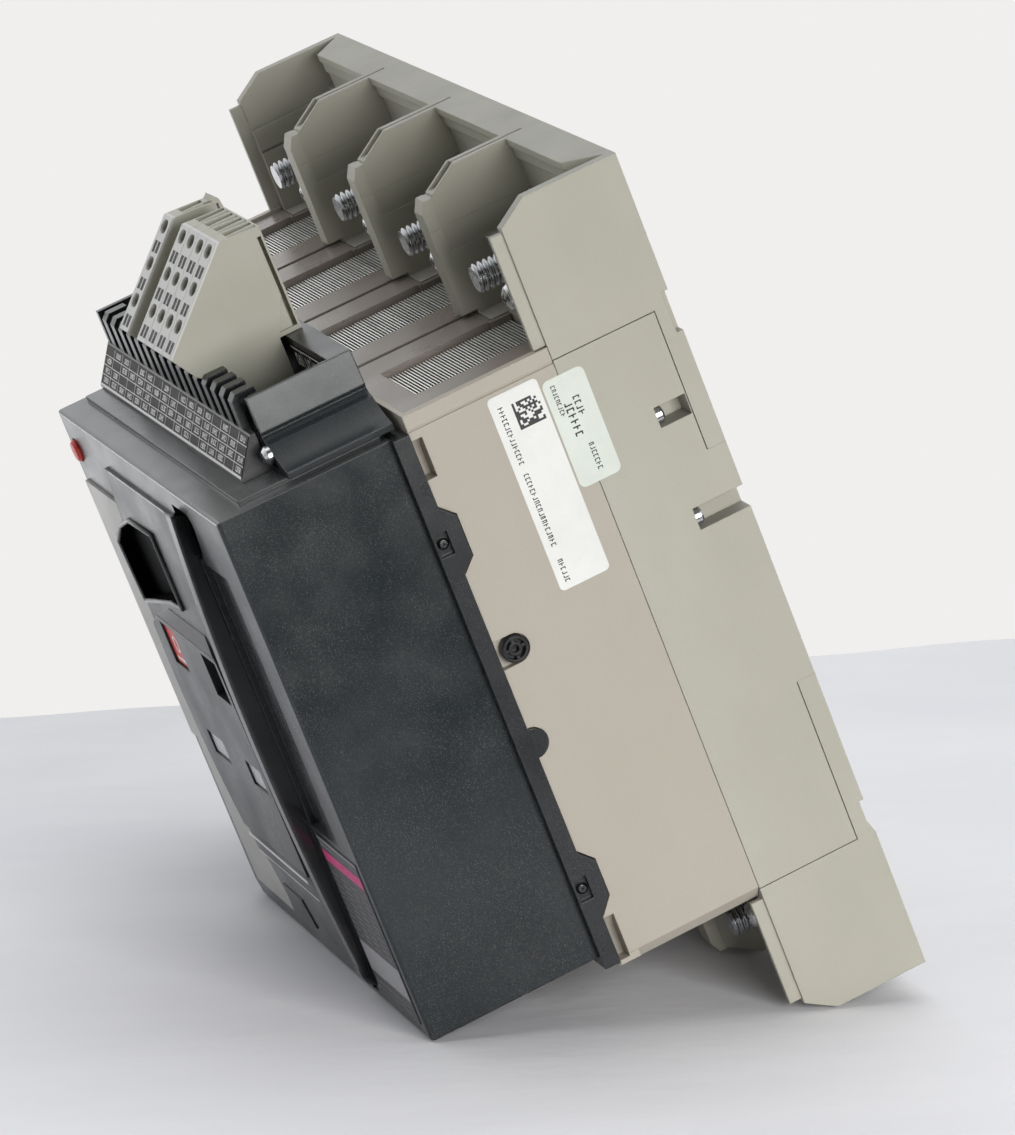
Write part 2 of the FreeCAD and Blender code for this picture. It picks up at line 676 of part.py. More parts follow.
PANEL = [(-2, 81), (78.6, 81), (78.6, -66), (-11, -66), (-14, -58), (-25.5, 20, (-25.6, -20)),
         (-25.5, 24), (-29, 50), (-8, 60), (-7, 67)]
DISPLAY = [(-23.4, 27), (-26.8, 48.8), (-14, 57), (4, 63.4), (33, 64.4), (33.4, 37.6), (20, 36.6),
           (2, 32.6)]
UPPER_LEAF = [(-45, -29.6), (-45, 67), (-7.2, 67), (-8.2, 60.2), (-29.4, 50.2), (-25.85, 24), (-25.85, 20),
              (-24.17, -29.6, (-27.32, -5))]
LOWER_LEAF = [(-43, -87), (-44.6, -30.2), (-24.04, -30.2), (-14.39, -58, (-19.76, -45)), (-11.4, -66.4),
              (-1, -81), (-1, -87)]
WINDOW_A = (-9.5, 9.2)
WINDOW_B = (34.4, 51)
WINDOW_HEIGHT = (-27, -18)
PADLOCK_TAB = [(0, -76), (21, -76), (28, -85), (5, -85)]
TAB_OPENING = [(-0.4, -75.8), (21.2, -75.8), (28.6, -85.2), (4.8, -85.2)]


def front_cover():
    """The dark front moulding: a shell open at the rear, with a channel for the handle."""
    outer = [("-cover_left", "-cover_low+5"), ("-cover_left", "cover_top"), ("cover_right", "cover_top"),
             ("cover_right", "-cover_low"), ("-cover_left+5", "-cover_low")]
    shell = prism("cover_outer", "XZ", outer, "-cover_depth", "-frame_depth")
    shell = rounded("cover_edged", shell, 1.2, lambda edge: edge.CenterOfMass.y < -158.9)
    solids = [shell, block("cover_plate", (-44, 130), (-149, -100), (91, 93.5))]
    hollow = block("cover_hollow", ("-cover_left+cover_wall", "cover_right-cover_wall"),
                   ("-cover_depth+cover_wall", "-frame_depth+1"),
                   ("-cover_low+cover_wall", "cover_top-cover_wall"))
    channel = block("channel_body", (76.8, 101.5), ("-cover_depth+2", -144),
                    ("-cover_low+1", "cover_top-1"))
    body = join("cover_with_channel", [cut("cover_shell", join("cover_solid", solids), [hollow]), channel])
    tools = [block("channel", ("handle_left-0.6", "handle_right+0.6"), (-160, -147), (-91.2, 86))]
    scoop = [(87, 68), (87, 86), (93.5, 86), (99.4, 81, (98, 84.6)), (97, 75), (90, 68, (94.6, 70.6))]
    tools.append(prism("scoop", "XZ", scoop, -160, -147))
    for level, tag in ((1, "a"), (-1, "b")):
        start = 77.5 if level < 0 else 86
        tools.append(rod("handle_bore_" + tag, "X", (start, "-handle_depth", "-handle_drop"),
                         "2.5+running_gap", 4))
    dish = [(88.5, -159.5), (118, -159.5), (118, -159), (88.5, -156.6)]
    tools.append(prism("dish", "XY", dish, -28, 68))
    tools.append(prism("panel_opening", "XZ", PANEL, -160, -155))
    tools.append(prism("upper_leaf_opening", "XZ", UPPER_LEAF, -160, -155))
    tools.append(prism("lower_leaf_opening", "XZ", LOWER_LEAF, -160, -155))
    tools.append(prism("tab_opening", "XZ", TAB_OPENING, -160, -155))
    tools.append(rod("reset_hole", "Y", (-40, -160, 79), 4.35, 6))
    return cut("cover", body, tools)


node(front_cover(), "front_cover")


def button_panel():
    """The raised central panel: display opening, two button wells and two flag windows."""
    plate = prism("panel_plate", "XZ", PANEL, "-panel_depth+1", "-panel_back")
    raised = [(-24.8, 18), (-13, 24.4), (8, 31.4), (50, 32), (54, 24), (57, -56), (-13.5, -56),
              (-25.2, 14, (-25.2, -18))]
    boss = prism("panel_boss", "XZ", raised, "-panel_depth", -159.5)
    slope = prism("panel_slope", "YZ", [("-panel_depth-1", 24.4), ("-panel_depth", 24.4),
                                        ("-panel_depth+0.95", 32.2),
                                        ("-panel_depth-1", 32.2)], -30, 60)
    boss = cut("panel_boss_sloped", boss, [slope])
    lugs = []
    for name, low, high in (("a", -13.4, -10.2), ("b", 9.9, 13.1), ("c", 30.7, 33.9), ("d", 51.2, 54.4)):
        lugs.append(block("flag_lug_" + name, (low, high), (-156.5, -145.5), (-26, -19)))
    tools = [prism("display_opening", "XZ", DISPLAY, -162, -150)]
    tools.append(block("off_well", (-12.6, 3.8), (-162, -155), (6.4, 22)))
    tools.append(block("on_well", (35.2, 51.2), (-162, -155), (6.4, 22)))
    tools.append(block("flag_window_a", WINDOW_A, (-162, -155), WINDOW_HEIGHT))
    tools.append(block("flag_window_b", WINDOW_B, (-162, -155), WINDOW_HEIGHT))
    for start in (-14, 30):
        tools.append(rod(f"trunnion_bores_{start + 14}", "X", (start, "-flag_depth", "-flag_drop"),
                         "1.5+running_gap", 28))
    return cut("panel", join("panel_solid", [plate, boss] + lugs), tools)


node(button_panel(), "button_panel")

node(prism("leaf_high", "XZ", UPPER_LEAF, -160, -157.6), "control_unit_cover")
node(prism("leaf_low", "XZ", LOWER_LEAF, -159, -156.6), "lower_unit_cover")

unit_screen = prism("unit_screen", "XZ", DISPLAY, -155.9, -147)
unit_body = block("unit_body", (-44, -24), (-155.9, -112), (-84, 60))
unit_bridge = block("unit_bridge", (-30, 30), (-153, -147), (27, 62))
node(join("unit", [unit_screen, unit_body, unit_bridge]), "control_unit")

node(group("windows", [block("window_a", WINDOW_A, (-160.4, -157.6), WINDOW_HEIGHT),
                       block("window_b", WINDOW_B, (-160.4, -157.6), WINDOW_HEIGHT)]), "indicator_windows")


def flag(name, low, high):
    """A two-coloured drum on two trunnions, seen through a window of the panel."""
    drum = rod(name + "_drum", "X", (low, "-flag_depth", "-flag_drop"), "flag_radius", high - low)
    axle = rod(name + "_axle", "X", (low - 2.5, "-flag_depth", "-flag_drop"), 1.5, high - low + 5)
    return join(name, [drum, axle])


node(flag("drum_left", -9.7, 9.4), "position_flag")
node(flag("drum_right", 34.3, 50.7), "charge_flag")


def push_button(name, x, front, rear):
    """A rectangular cap with a round stem behind it."""
    cap = block(name + "_cap", x, (front, -151), (6.8, 21.6))
    middle = (x[0] + x[1]) / 2
    stem = rod(name + "_stem", "Y", (middle, -151.5, 14.2), 3, rear + 151.5)
    return join(name, [cap, stem])


node(push_button("red_button", (-12.2, 3.4), -160.2, -144), "off_button")
node(push_button("black_button", (35.6, 50.8), -156.8, -144), "on_button")
node(turned("round_button", [(0, 0), (2.5, 0), (2.5, 5), (4, 5), (4, 11.5), (3.2, 12.5), (0, 12.8)],
            (-40, -148, 79), "-Y"), "reset_button")
node(prism("tab", "XZ", PADLOCK_TAB, -159.4, -148), "padlock_tab")


def charging_handle():
    """A bowed flat lever on two stub pins, with a rounded lower end."""
    bow = [(-157.6, -82), (-157.6, 82.6), (-162.2, 84.6), (-161.8, -84, (-165.4, -6))]
    lever = prism("handle_bow", "YZ", bow, "handle_left", "handle_right")
    hub = rod("handle_hub", "X", ("handle_left", "-handle_depth", "-handle_drop"), "hub_radius",
              between("handle_left", "handle_right"))
    pins = rod("handle_pins", "X", ("handle_left-2.4", "-handle_depth", "-handle_drop"), 2.5,
               "handle_right-handle_left+4.8")
    return join("handle", [lever, hub, pins])


node(charging_handle(), "charging_handle")
node(block("rating_plate", (92, 132), (-159.3, -159), (-88, -30)), "rating_label")
node(group("labels", [block("case_label", (140, 140.15), (-68, -49), (23, 91)),
                      block("base_label", (140, 140.15), (-42, -34.5), (51, 88.5))]), "side_labels")


# ---------------------------------------------------------------- mechanism behind the cover

def side_plate(name, low, high):
    """A steel plate of the mechanism, with bores for the charging shaft and the latch shafts."""
    shape = [(-138, -74), (-138, 22.7), (-146, 22.7), (-146, 34.7), (-138, 34.7), (-138, 72),
             ("-frame_depth", 72),
             ("-frame_depth", -74)]
    plate = prism(name, "YZ", shape, low, high)
    bores = [rod(name + "_bore", "X", (low - 1, "-charge_depth", "charge_height"),
                 "charge_radius+running_gap", high - low + 2),
             rod(name + "_latch_bore", "X", (low - 1, "-latch_depth", "latch_height"),
                 "latch_radius+running_gap", high - low + 2)]
    return cut(name + "_cut", plate, bores)


plates = [side_plate("plate_left", -18, -14), side_plate("plate_middle", 13, 16),
          side_plate("plate_right", 70, 74)]
plates.append(block("spring_seat", (13, 74), (-134, -112), (-74, -69.4)))
plates.append(block("plate_tie", (-18, 74), (-106, "-frame_depth"), (62, 72)))
plates.append(block("plate_foot", (-18, 74), (-106, "-frame_depth"), (-74, -64)))
node(join("mechanism", plates), "mechanism_frame")

ratchet = []
for tooth in range(16):
    for angle, radius in ((22.5 * tooth, 20), (22.5 * tooth + 19, 16.5)):
        turn = math.radians(angle)
        ratchet.append((radius * math.cos(turn) - SIZES["charge_depth"],
                        radius * math.sin(turn) + SIZES["charge_height"]))
charger = [rod("charging_bar", "X", (-22, "-charge_depth", "charge_height"), "charge_radius", 100),
           prism("ratchet_wheel", "YZ", ratchet, 58, 64),
           prism("charging_cam", "YZ", [(-131, 1), (-131, 9), (-119, 12), (-105, 9), (-105, 1),
                                        (-119, -2)],
                 22, 27),
           block("spring_crank", (33, 36), (-129.5, -120.5), (-19, 5)),
           rod("spring_pin", "X", (33, "-charge_depth", -14.5), 2.5, 17)]
node(join("charger", charger), "charging_shaft")


def latch(name, low, high, paddle):
    """A half-shaft with a paddle hanging behind its push button."""
    bar = rod(name + "_bar", "X", (low, "-latch_depth", "latch_height"), "latch_radius", high - low)
    blade = block(name + "_blade", paddle, ("-latch_depth-0.8", "-latch_depth+0.8"), (9.2, "latch_height"))
    return join(name, [bar, blade])


node(latch("latch_left", -20, 14.6, (-7.4, -1.4)), "opening_latch")
node(latch("latch_right", 15, 76, (40.2, 46.2)), "closing_latch")

spring = doc.addObject("Part::Helix", "spring_path")
spring.Pitch = 5
spring.Height = 45
spring.Radius = 8
coil = doc.addObject("Part::Sweep", "spring_coil")
wire = doc.addObject("Part::Circle", "spring_wire")
wire.Radius = 1.25
wire.Placement = FreeCAD.Placement(FreeCAD.Vector(8, 0, 0), FreeCAD.Rotation(FreeCAD.Vector(1, 0, 0), 90))
coil.Sections = [wire]
coil.Spine = (spring, ["Edge1"])
coil.Solid = True
coil.Frenet = True
coil.Placement = FreeCAD.Placement(FreeCAD.Vector(44, -SIZES["charge_depth"], -66.5), FreeCAD.Rotation())
node(coil, "closing_spring")


# ---------------------------------------------------------------- terminal tray and its modules

def rib_left(index):
    """The left side of one rib of the tray's comb."""
    return f"-tray_left+5.4+{index}*column_pitch"


def comb_rib(index):
    """One inverted-L rib of the tray's comb, with the foot it stands on."""
    left = rib_left(index)
    right = left + "+4.6"
    profile = [(-136, "tray_low+1"), (-134.4, 106), (-134.4, 116), (-132.5, "tray_top"),
               (-126, "tray_top"),
               (-126, "tray_top-2.2"), (-131.8, "tray_top-2.2"), (-131.8, 106), (-129.5, "tray_low+1")]
    return prism(f"comb_rib_{index}", "YZ", profile, left, right)


def terminal_tray():
    """The tray on the top: sloping label rail, comb, floor, rear wall and one end wall."""
    across = ("-tray_left", "tray_right")
    floor = block("tray_floor", across, (-136, -95.5), ("tray_low", "tray_low+2.4"))
    rear_wall = block("tray_rear_wall", across, (-103.5, -95.5), ("tray_low", "tray_top"))
    end_wall = block("tray_end_wall", ("-tray_left", "-tray_left+2.4"), (-134.4, -95.5),
                     ("tray_low", "tray_top"))
    rail = [(-142.5, "tray_low"), (-142.5, "tray_low+0.8"), (-134.6, 106.6), (-133, 106.6),
            (-133, "tray_low")]
    solids = [floor, rear_wall, end_wall, prism("tray_rail", "YZ", rail, *across)]
    solids += [comb_rib(index) for index in range(16)]
    return join("tray", solids)


node(terminal_tray(), "terminal_tray")

hook = [("tray_right", "tray_low+0.2"), ("tray_right", "tray_top"), (117.6, "tray_top"), (119, 106.4),
        (118.1, 104.9), (119.4, 103.6), (121.8, 102.6), (134, 96, (126.3, 99.2)), (134, "tray_low+0.2")]
bracket = prism("bracket_body", "XZ", hook, -132, -95.5)
pocket = block("bracket_pocket", (118, 124.6), (-133, -127), (94.7, 99.5))
screw_hole = rod("bracket_hole", "Y", (121.5, -133, 99.8), 1.65, 15)
node(cut("bracket", bracket, [pocket, screw_hole]), "tray_bracket")

rail_strip = prism("rail_strip", "YZ", [(-142.07, 94.97), (-135.05, 105.91), (-135.22, 106.02),
                                        (-142.24, 95.08)],
                   "-tray_left+1", "tray_right-1")
wall_strip = block("wall_strip", (76, "tray_right-1"), (-103.75, -103.5), (106, 115.5))
node(group("strips", [rail_strip, wall_strip]), "tray_labels")


FACE_SLOPE = 45.1
FACE_FOOT = FreeCAD.Vector(0, -140.7, 126.9)
MODULES = [("15.8", 6, True), ("36", 8, False), ("36+column_pitch", 9, False),
           ("36+2*column_pitch", 10, False), ("36+3*column_pitch", 11, False)]


def terminal_module(index, left, rib, lug):
    """A plug-in terminal block: tapered body, sloping face with wiring holes, ribbed back."""
    right = f"{left}+module_wide"
    side = [(-140.7, 126.9), (-112.9, 154.8), (-98.2, 154), (-97.6, 118.1), (-105.5, 118.1),
            (-105.5, 104.4),
            (-121.5, 104.4), (-125.3, 109), (-135.3, 118.5)]
    solids = [prism(f"module_body_{index}", "YZ", side, left, right)]
    tools = []
    if lug:
        crest = [(-100.7, 150), (-100.7, 154.2), (-99.4, 154.2), (-97.9, 155.6), (-95.8, 153.4),
                 (-95.2, 149.8),
                 (-96.4, 149.4), (-97.9, 146)]
        solids.append(prism(f"module_lug_{index}", "YZ", crest, f"{left}+1", f"{right}-3"))
        tools.append(block(f"module_lug_slot_{index}", (left, right), (-97.3, -96.6), (149, 152.2)))
    roof = [(-108.6, 156), (-108.6, 152.5), (-98.9, 152.2), (-98.9, 156)]
    roof_tray = prism(f"module_roof_{index}", "YZ", roof, f"{left}+0.9", f"{right}-0.9")
    solids[0] = cut(f"module_open_{index}", solids[0], [roof_tray])
    solids.append(rod(f"module_tube_{index}", "Y", (f"{left}+0.5*module_wide", -109, 151.7), 2.5, 10.6))
    tools.append(block(f"module_rib_gap_{index}", (f"{left}-1", f"{rib_left(rib)}+5"), (-142, -125.6),
                       (90, "tray_top+0.3")))
    recess = [(-99.3, 131.5), (-100.3, 129.5), (-104.6, 119.6), (-98.6, 119.6)]
    tools.append(prism(f"module_recess_{index}", "YZ", recess, f"{right}-1.2", f"{right}+1"))
    groove = [(-100.2, 150.8), (-98.9, 150.8), (-98.5, 119.6), (-99.8, 119.6)]
    tools.append(prism(f"module_groove_{index}", "YZ", groove, f"{right}-5", f"{right}+1"))
    tilt = FreeCAD.Rotation(FreeCAD.Vector(1, 0, 0), FACE_SLOPE)
    for level in (35.8, 23.1, 10.4):
        for aside in ("-0.6", "+0.6"):
            screw = doc.addObject("Part::Cylinder", f"module_screw_well_{index}")
            screw.Radius = 2.35
            screw.Height = 8
            screw.Placement = FreeCAD.Placement(FACE_FOOT + tilt.multVec(FreeCAD.Vector(0, level, -6)),
                                                tilt)
            bind(screw, "Placement.Base.x", f"{left}+0.5*module_wide{aside}")
            tools.append(screw)
        for across in (1.7, 5.1):
            well = doc.addObject("Part::Box", f"module_well_{index}")
            well.Length = 2.6
            well.Width = 3.9
            well.Height = 8
            corner = FACE_FOOT + tilt.multVec(FreeCAD.Vector(0, level - 7 - 1.95, -6))
            well.Placement = FreeCAD.Placement(corner, tilt)
            bind(well, "Placement.Base.x", f"{left}+{across}")
            tools.append(well)
    return cut(f"module_{index}", join(f"module_solid_{index}", solids), tools)


for index, (left, rib, lug) in enumerate(MODULES, start=1):
    node(terminal_module(index, left, rib, lug), f"terminal_module_{index}")


# ---------------------------------------------------------------- checks and export

doc.recompute()
for thing in doc.Objects:
    for state in thing.State:
        if state in ("Invalid", "Error"):
            raise RuntimeError(f"{thing.Name} is {state}")
for thing in nodes:
    if thing.Shape.isNull() or not thing.Shape.isValid():
        raise RuntimeError(f"{thing.Label} has no valid shape")

os.makedirs("parts", exist_ok=True)
for thing in nodes:
    thing.Shape.exportStep(f"parts/{thing.Label}.step")
    print(f"{thing.Label:24s} {len(thing.Shape.Solids):3d} solids  {thing.Shape.BoundBox}")
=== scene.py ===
import math
import random

import bmesh
import bpy
from mathutils import Matrix, Vector


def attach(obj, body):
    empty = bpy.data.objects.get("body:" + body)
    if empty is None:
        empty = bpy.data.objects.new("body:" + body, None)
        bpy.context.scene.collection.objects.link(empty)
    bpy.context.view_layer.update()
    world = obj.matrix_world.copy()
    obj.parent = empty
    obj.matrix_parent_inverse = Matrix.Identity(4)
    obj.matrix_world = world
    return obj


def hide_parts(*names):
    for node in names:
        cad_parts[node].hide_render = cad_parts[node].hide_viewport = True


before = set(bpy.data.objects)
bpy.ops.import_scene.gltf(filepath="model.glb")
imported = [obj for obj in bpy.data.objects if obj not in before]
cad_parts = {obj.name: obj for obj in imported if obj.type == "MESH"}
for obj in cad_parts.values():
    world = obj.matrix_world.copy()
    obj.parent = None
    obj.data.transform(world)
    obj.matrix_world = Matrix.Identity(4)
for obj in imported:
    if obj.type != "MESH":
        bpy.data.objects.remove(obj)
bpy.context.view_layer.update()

# Lengths are in metres in the materials and the stage, and in millimetres where a drawing is
# multiplied by MM. The front faces -Y, +X is right seen from the front and +Z is up.
MM = 0.001
X_AXIS, Y_AXIS, Z_AXIS = Vector((1, 0, 0)), Vector((0, 1, 0)), Vector((0, 0, 1))
POLE_CENTRES = (-105, -35, 35, 105)
SIDE_FACE = 140
COVER_FACE = 159
PANEL_FACE = 160
BUTTON_ZONE_FACE = 161
MODULE_PITCH = 9.6
MODULE_LEFTS = (15.8, 36, 45.6, 55.2, 64.8)


# ---------------------------------------------------------------- camera, stage and light

def make_camera():
    """A long lens from the right side, a little above and in front."""
    data = bpy.data.cameras.new("camera")
    data.sensor_width = 36
    data.lens = 195.5
    data.clip_start = 0.1
    data.clip_end = 50
    camera = bpy.data.objects.new("camera", data)
    bpy.context.scene.collection.objects.link(camera)
    camera.location = (1.8977, -0.4912, 0.6630)
    camera.rotation_euler = [math.radians(angle) for angle in (69.584, 20.538, 69.397)]
    bpy.context.scene.camera = camera


# The object lies tilted back on a table, so the table's up leans in the object's frame.
TILT = math.radians(22.4)
UP = Vector((0, math.sin(TILT), math.cos(TILT)))
ALONG = UP.cross(X_AXIS)


def make_light(name, place, target, size, power, colour, shine=1.0):
    """A soft square light that faces a point; shine is how strongly it shows in gloss."""
    data = bpy.data.lights.new(name, "AREA")
    data.size = size
    data.energy = power
    data.color = colour
    data.specular_factor = shine
    lamp = bpy.data.objects.new(name, data)
    bpy.context.scene.collection.objects.link(lamp)
    lamp.location = place
    lamp.rotation_mode = "QUATERNION"
    lamp.rotation_quaternion = (Vector(target) - Vector(place)).to_track_quat("-Z", "Y")


def make_world():
    """Plain white where it is seen; as light, bright on the left and nearly dark on the right."""
    world = bpy.data.worlds.new("studio")
    bpy.context.scene.world = world
    world.use_nodes = True
    tree = world.node_tree
    tree.nodes.clear()
    place = tree.nodes.new("ShaderNodeTexCoord")
    split = tree.nodes.new("ShaderNodeSeparateXYZ")
    tree.links.new(place.outputs["Generated"], split.inputs[0])
    shade = tree.nodes.new("ShaderNodeMapRange")
    for key, value in (("From Min", -0.6), ("From Max", 0.42), ("To Min", 1.25), ("To Max", 0.08)):
        shade.inputs[key].default_value = value
    tree.links.new(split.outputs["X"], shade.inputs["Value"])
    dim = tree.nodes.new("ShaderNodeBackground")
    dim.inputs["Color"].default_value = (0.98, 0.99, 1.0, 1)
    tree.links.new(shade.outputs[0], dim.inputs["Strength"])
    white = tree.nodes.new("ShaderNodeBackground")
    white.inputs["Color"].default_value = (0.872, 0.864, 0.853, 1)
    seen = tree.nodes.new("ShaderNodeLightPath")
    mix = tree.nodes.new("ShaderNodeMixShader")
    tree.links.new(seen.outputs["Is Camera Ray"], mix.inputs[0])
    tree.links.new(dim.outputs[0], mix.inputs[1])
    tree.links.new(white.outputs[0], mix.inputs[2])
    out = tree.nodes.new("ShaderNodeOutputWorld")
    tree.links.new(mix.outputs[0], out.inputs[0])


def make_floor():
    """A table top under white cloth, touching the lower front edge of the cover."""
    mesh = bpy.data.meshes.new("floor")
    shape = bmesh.new()
    origin = Vector((0, -0.159, -0.0934))
    left, width, half_length = -0.317, 0.73, 1.3
    cells = 150
    # flat under the middle of the object; the folds set in beyond these distances from it
    calm, onset, sink = 0.12, 0.2, 0.002
    grid = []
    for i in range(cells + 1):
        x = left + width * i / cells
        for j in range(cells + 1):
            y = -half_length + 2 * half_length * j / cells
            fold = 0.0011 * math.sin(9 * x + 14 * y) + 0.0009 * math.sin(23 * x - 11 * y + 1.3)
            fold += 0.0007 * math.sin(61 * x + 17 * y + 2 * math.sin(19 * y))
            away = min(1, max(0, (abs(x) - calm) / onset))
            grid.append(shape.verts.new(origin + X_AXIS * x + ALONG * y + UP * (fold - sink) * away))
    stride = cells + 1
    for i in range(cells):
        for j in range(cells):
            a = i * stride + j
            shape.faces.new((grid[a], grid[a + stride], grid[a + stride + 1], grid[a + 1]))
    shape.normal_update()
    if shape.faces[:][0].normal.dot(UP) < 0:
        bmesh.ops.reverse_faces(shape, faces=shape.faces[:])
    shape.to_mesh(mesh)
    shape.free()
    mesh.polygons.foreach_set("use_smooth", [True] * len(mesh.polygons))
    floor = bpy.data.objects.new("floor", mesh)
    bpy.context.scene.collection.objects.link(floor)
    return floor


# ---------------------------------------------------------------- node materials

class Look:
    """A node material. Each method adds nodes and returns the socket that carries the result."""

    def __init__(self, name):
        self.material = bpy.data.materials.new(name)
        self.material.use_nodes = True
        self.tree = self.material.node_tree
        self.tree.nodes.clear()
        self.place = self.node("ShaderNodeTexCoord").outputs["Object"]

    def node(self, kind, **settings):
        made = self.tree.nodes.new(kind)
        for key, value in settings.items():
            setattr(made, key, value)
        return made

    def feed(self, socket, value):
        if isinstance(value, bpy.types.NodeSocket):
            self.tree.links.new(value, socket)
        elif socket.type == "RGBA" and len(value) == 3:
            socket.default_value = (*value, 1)
        else:
            socket.default_value = value

    def math(self, operation, a, b=0.0, opening_shade=False):
        made = self.node("ShaderNodeMath", operation=operation, use_clamp=opening_shade)
        self.feed(made.inputs[0], a)
        self.feed(made.inputs[1], b)
        return made.outputs[0]

    def stretched(self, scale):
        made = self.node("ShaderNodeVectorMath", operation="MULTIPLY")
        self.feed(made.inputs[0], self.place)
        made.inputs[1].default_value = scale
        return made.outputs[0]

    def noise(self, scale, detail=3.0, roughness=0.55, stretch=None):
        made = self.node("ShaderNodeTexNoise")
        self.feed(made.inputs["Vector"], self.stretched(stretch) if stretch else self.place)
        made.inputs["Scale"].default_value = scale
        made.inputs["Detail"].default_value = detail
        made.inputs["Roughness"].default_value = roughness
        return made.outputs["Fac"]

    def ramp(self, value, low, high, bottom=0.0, top=1.0):
        made = self.node("ShaderNodeMapRange")
        self.feed(made.inputs["Value"], value)
        made.inputs["From Min"].default_value = low
        made.inputs["From Max"].default_value = high
        made.inputs["To Min"].default_value = bottom
        made.inputs["To Max"].default_value = top
        return made.outputs[0]

    def mix(self, factor, a, b):
        made = self.node("ShaderNodeMix", data_type="RGBA")
        self.feed(made.inputs["Factor"], factor)
        self.feed(made.inputs["A"], a)
        self.feed(made.inputs["B"], b)
        return made.outputs["Result"]

    def axis(self, letter):
        split = self.node("ShaderNodeSeparateXYZ")
        self.feed(split.inputs[0], self.place)
        return split.outputs[letter]

    def edges(self, radius):
        """1 along convex edges and 0 on flat faces, with the rounded normal that goes with it."""
        bevel = self.node("ShaderNodeBevel", samples=4)
        bevel.inputs["Radius"].default_value = radius
        flat = self.node("ShaderNodeNewGeometry").outputs["Normal"]
        dot = self.node("ShaderNodeVectorMath", operation="DOT_PRODUCT")
        self.feed(dot.inputs[0], bevel.outputs[0])
        self.feed(dot.inputs[1], flat)
        return self.ramp(dot.outputs["Value"], 0.995, 0.85), bevel.outputs[0]

    def bump(self, height, distance, strength=1.0, normal=None):
        made = self.node("ShaderNodeBump")
        made.inputs["Strength"].default_value = strength
        made.inputs["Distance"].default_value = distance
        self.feed(made.inputs["Height"], height)
        if normal:
            self.feed(made.inputs["Normal"], normal)
        return made.outputs[0]

    def surface(self, colour, roughness, normal=None, metallic=0.0, specular=0.5, alpha=1.0, coat=0.0):
        shader = self.node("ShaderNodeBsdfPrincipled")
        self.feed(shader.inputs["Base Color"], colour)
        self.feed(shader.inputs["Roughness"], roughness)
        if normal:
            self.feed(shader.inputs["Normal"], normal)
        shader.inputs["Metallic"].default_value = metallic
        shader.inputs["Specular IOR Level"].default_value = specular
        shader.inputs["Alpha"].default_value = alpha
        shader.inputs["Coat Weight"].default_value = coat
        out = self.node("ShaderNodeOutputMaterial")
        self.feed(out.inputs["Surface"], shader.outputs[0])
        return self.material


def scaled(colour, factor, lift=0.0):
    """A colour multiplied and then raised, kept at or below 1."""
    return tuple(min(1.0, lift + part * factor) for part in colour)


def moulded(name, colour, roughness=0.5, grain=1500, depth=0.00003, mottle=0.06, rim_lightening=0.35, speck=0.0,
            specular=0.5, edge=0.0005, second=None, top_dust_and_lighting=0.0, top_dust_and_lighting_colour=(0.16, 0.163, 0.166)):
    """Moulded plastic: mottling, a fine grain, specks, a tint on upward faces that is settled dust and
    painted top lighting, and lightened, rounded edges that are wear and, on the handle, a painted
    highlight.
    """
    look = Look(name)
    cloud = look.ramp(look.noise(18, 4, stretch=(1, 1, 0.6)), 0.3, 0.7)
    tone = look.mix(cloud, scaled(colour, 1 - mottle), scaled(second or colour, 1 + mottle))
    fine = look.noise(grain, 2)
    tone = look.mix(look.ramp(fine, 0.35, 0.65, 0.0, 0.12), tone, scaled(colour, 0.7))
    if speck:
        dust = look.ramp(look.noise(4200, 1, stretch=(1, 1, 0.6)), 0.58, 0.7)
        patch = look.ramp(look.noise(30, 3), 0.3, 0.6, 0.35, 1.0)
        strewn = look.math("MULTIPLY", look.math("MULTIPLY", dust, patch), speck)
        tone = look.mix(strewn, tone, (0.26, 0.25, 0.235))
    # Upward faces take a tint that is settled dust and also painted top lighting: lighter on the
    # cover, darker on the base.
    if top_dust_and_lighting:
        upwards = look.node("ShaderNodeSeparateXYZ")
        look.feed(upwards.inputs[0], look.node("ShaderNodeNewGeometry").outputs["Normal"])
        cover = look.ramp(look.noise(26, 5), 0.3, 0.6, 0.5, 1.0)
        lying = look.math("MULTIPLY", look.ramp(upwards.outputs["Z"], 0.6, 0.95), cover)
        tone = look.mix(look.math("MULTIPLY", lying, top_dust_and_lighting), tone, top_dust_and_lighting_colour)
    rim, rounded_normal = look.edges(edge)
    # Lightened rims: wear on most parts, and a painted highlight along the edges of the handle.
    lightened_rim = look.math("MULTIPLY", rim, look.ramp(look.noise(160, 4), 0.35, 0.7, 0.25, 1.0))
    tone = look.mix(look.math("MULTIPLY", lightened_rim, rim_lightening), tone, scaled(colour, 1.15, 0.1))
    gloss = look.ramp(look.noise(45, 4), 0.3, 0.7, roughness - 0.06, roughness + 0.07)
    normal = look.bump(fine, depth, 0.6, rounded_normal)
    return look.surface(tone, gloss, normal, specular=specular)


def metal(name, colour, roughness=0.3, stretch=(1, 1, 1), scale=900, rim_lightening=0.5, edge=0.0002):
    """Plated or rolled metal: drawn lines, small dents and brighter edges."""
    look = Look(name)
    lines = look.noise(scale, 3, stretch=stretch)
    stain = look.ramp(look.noise(70, 4), 0.3, 0.75)
    tone = look.mix(look.math("MULTIPLY", stain, 0.45), colour, scaled(colour, 0.6))
    rim, rounded_normal = look.edges(edge)
    tone = look.mix(look.math("MULTIPLY", rim, rim_lightening), tone, scaled(colour, 1, 0.25))
    gloss = look.ramp(lines, 0.3, 0.7, roughness - 0.08, roughness + 0.12)
    return look.surface(tone, gloss, look.bump(lines, 0.00002, 0.5, rounded_normal), metallic=1.0)


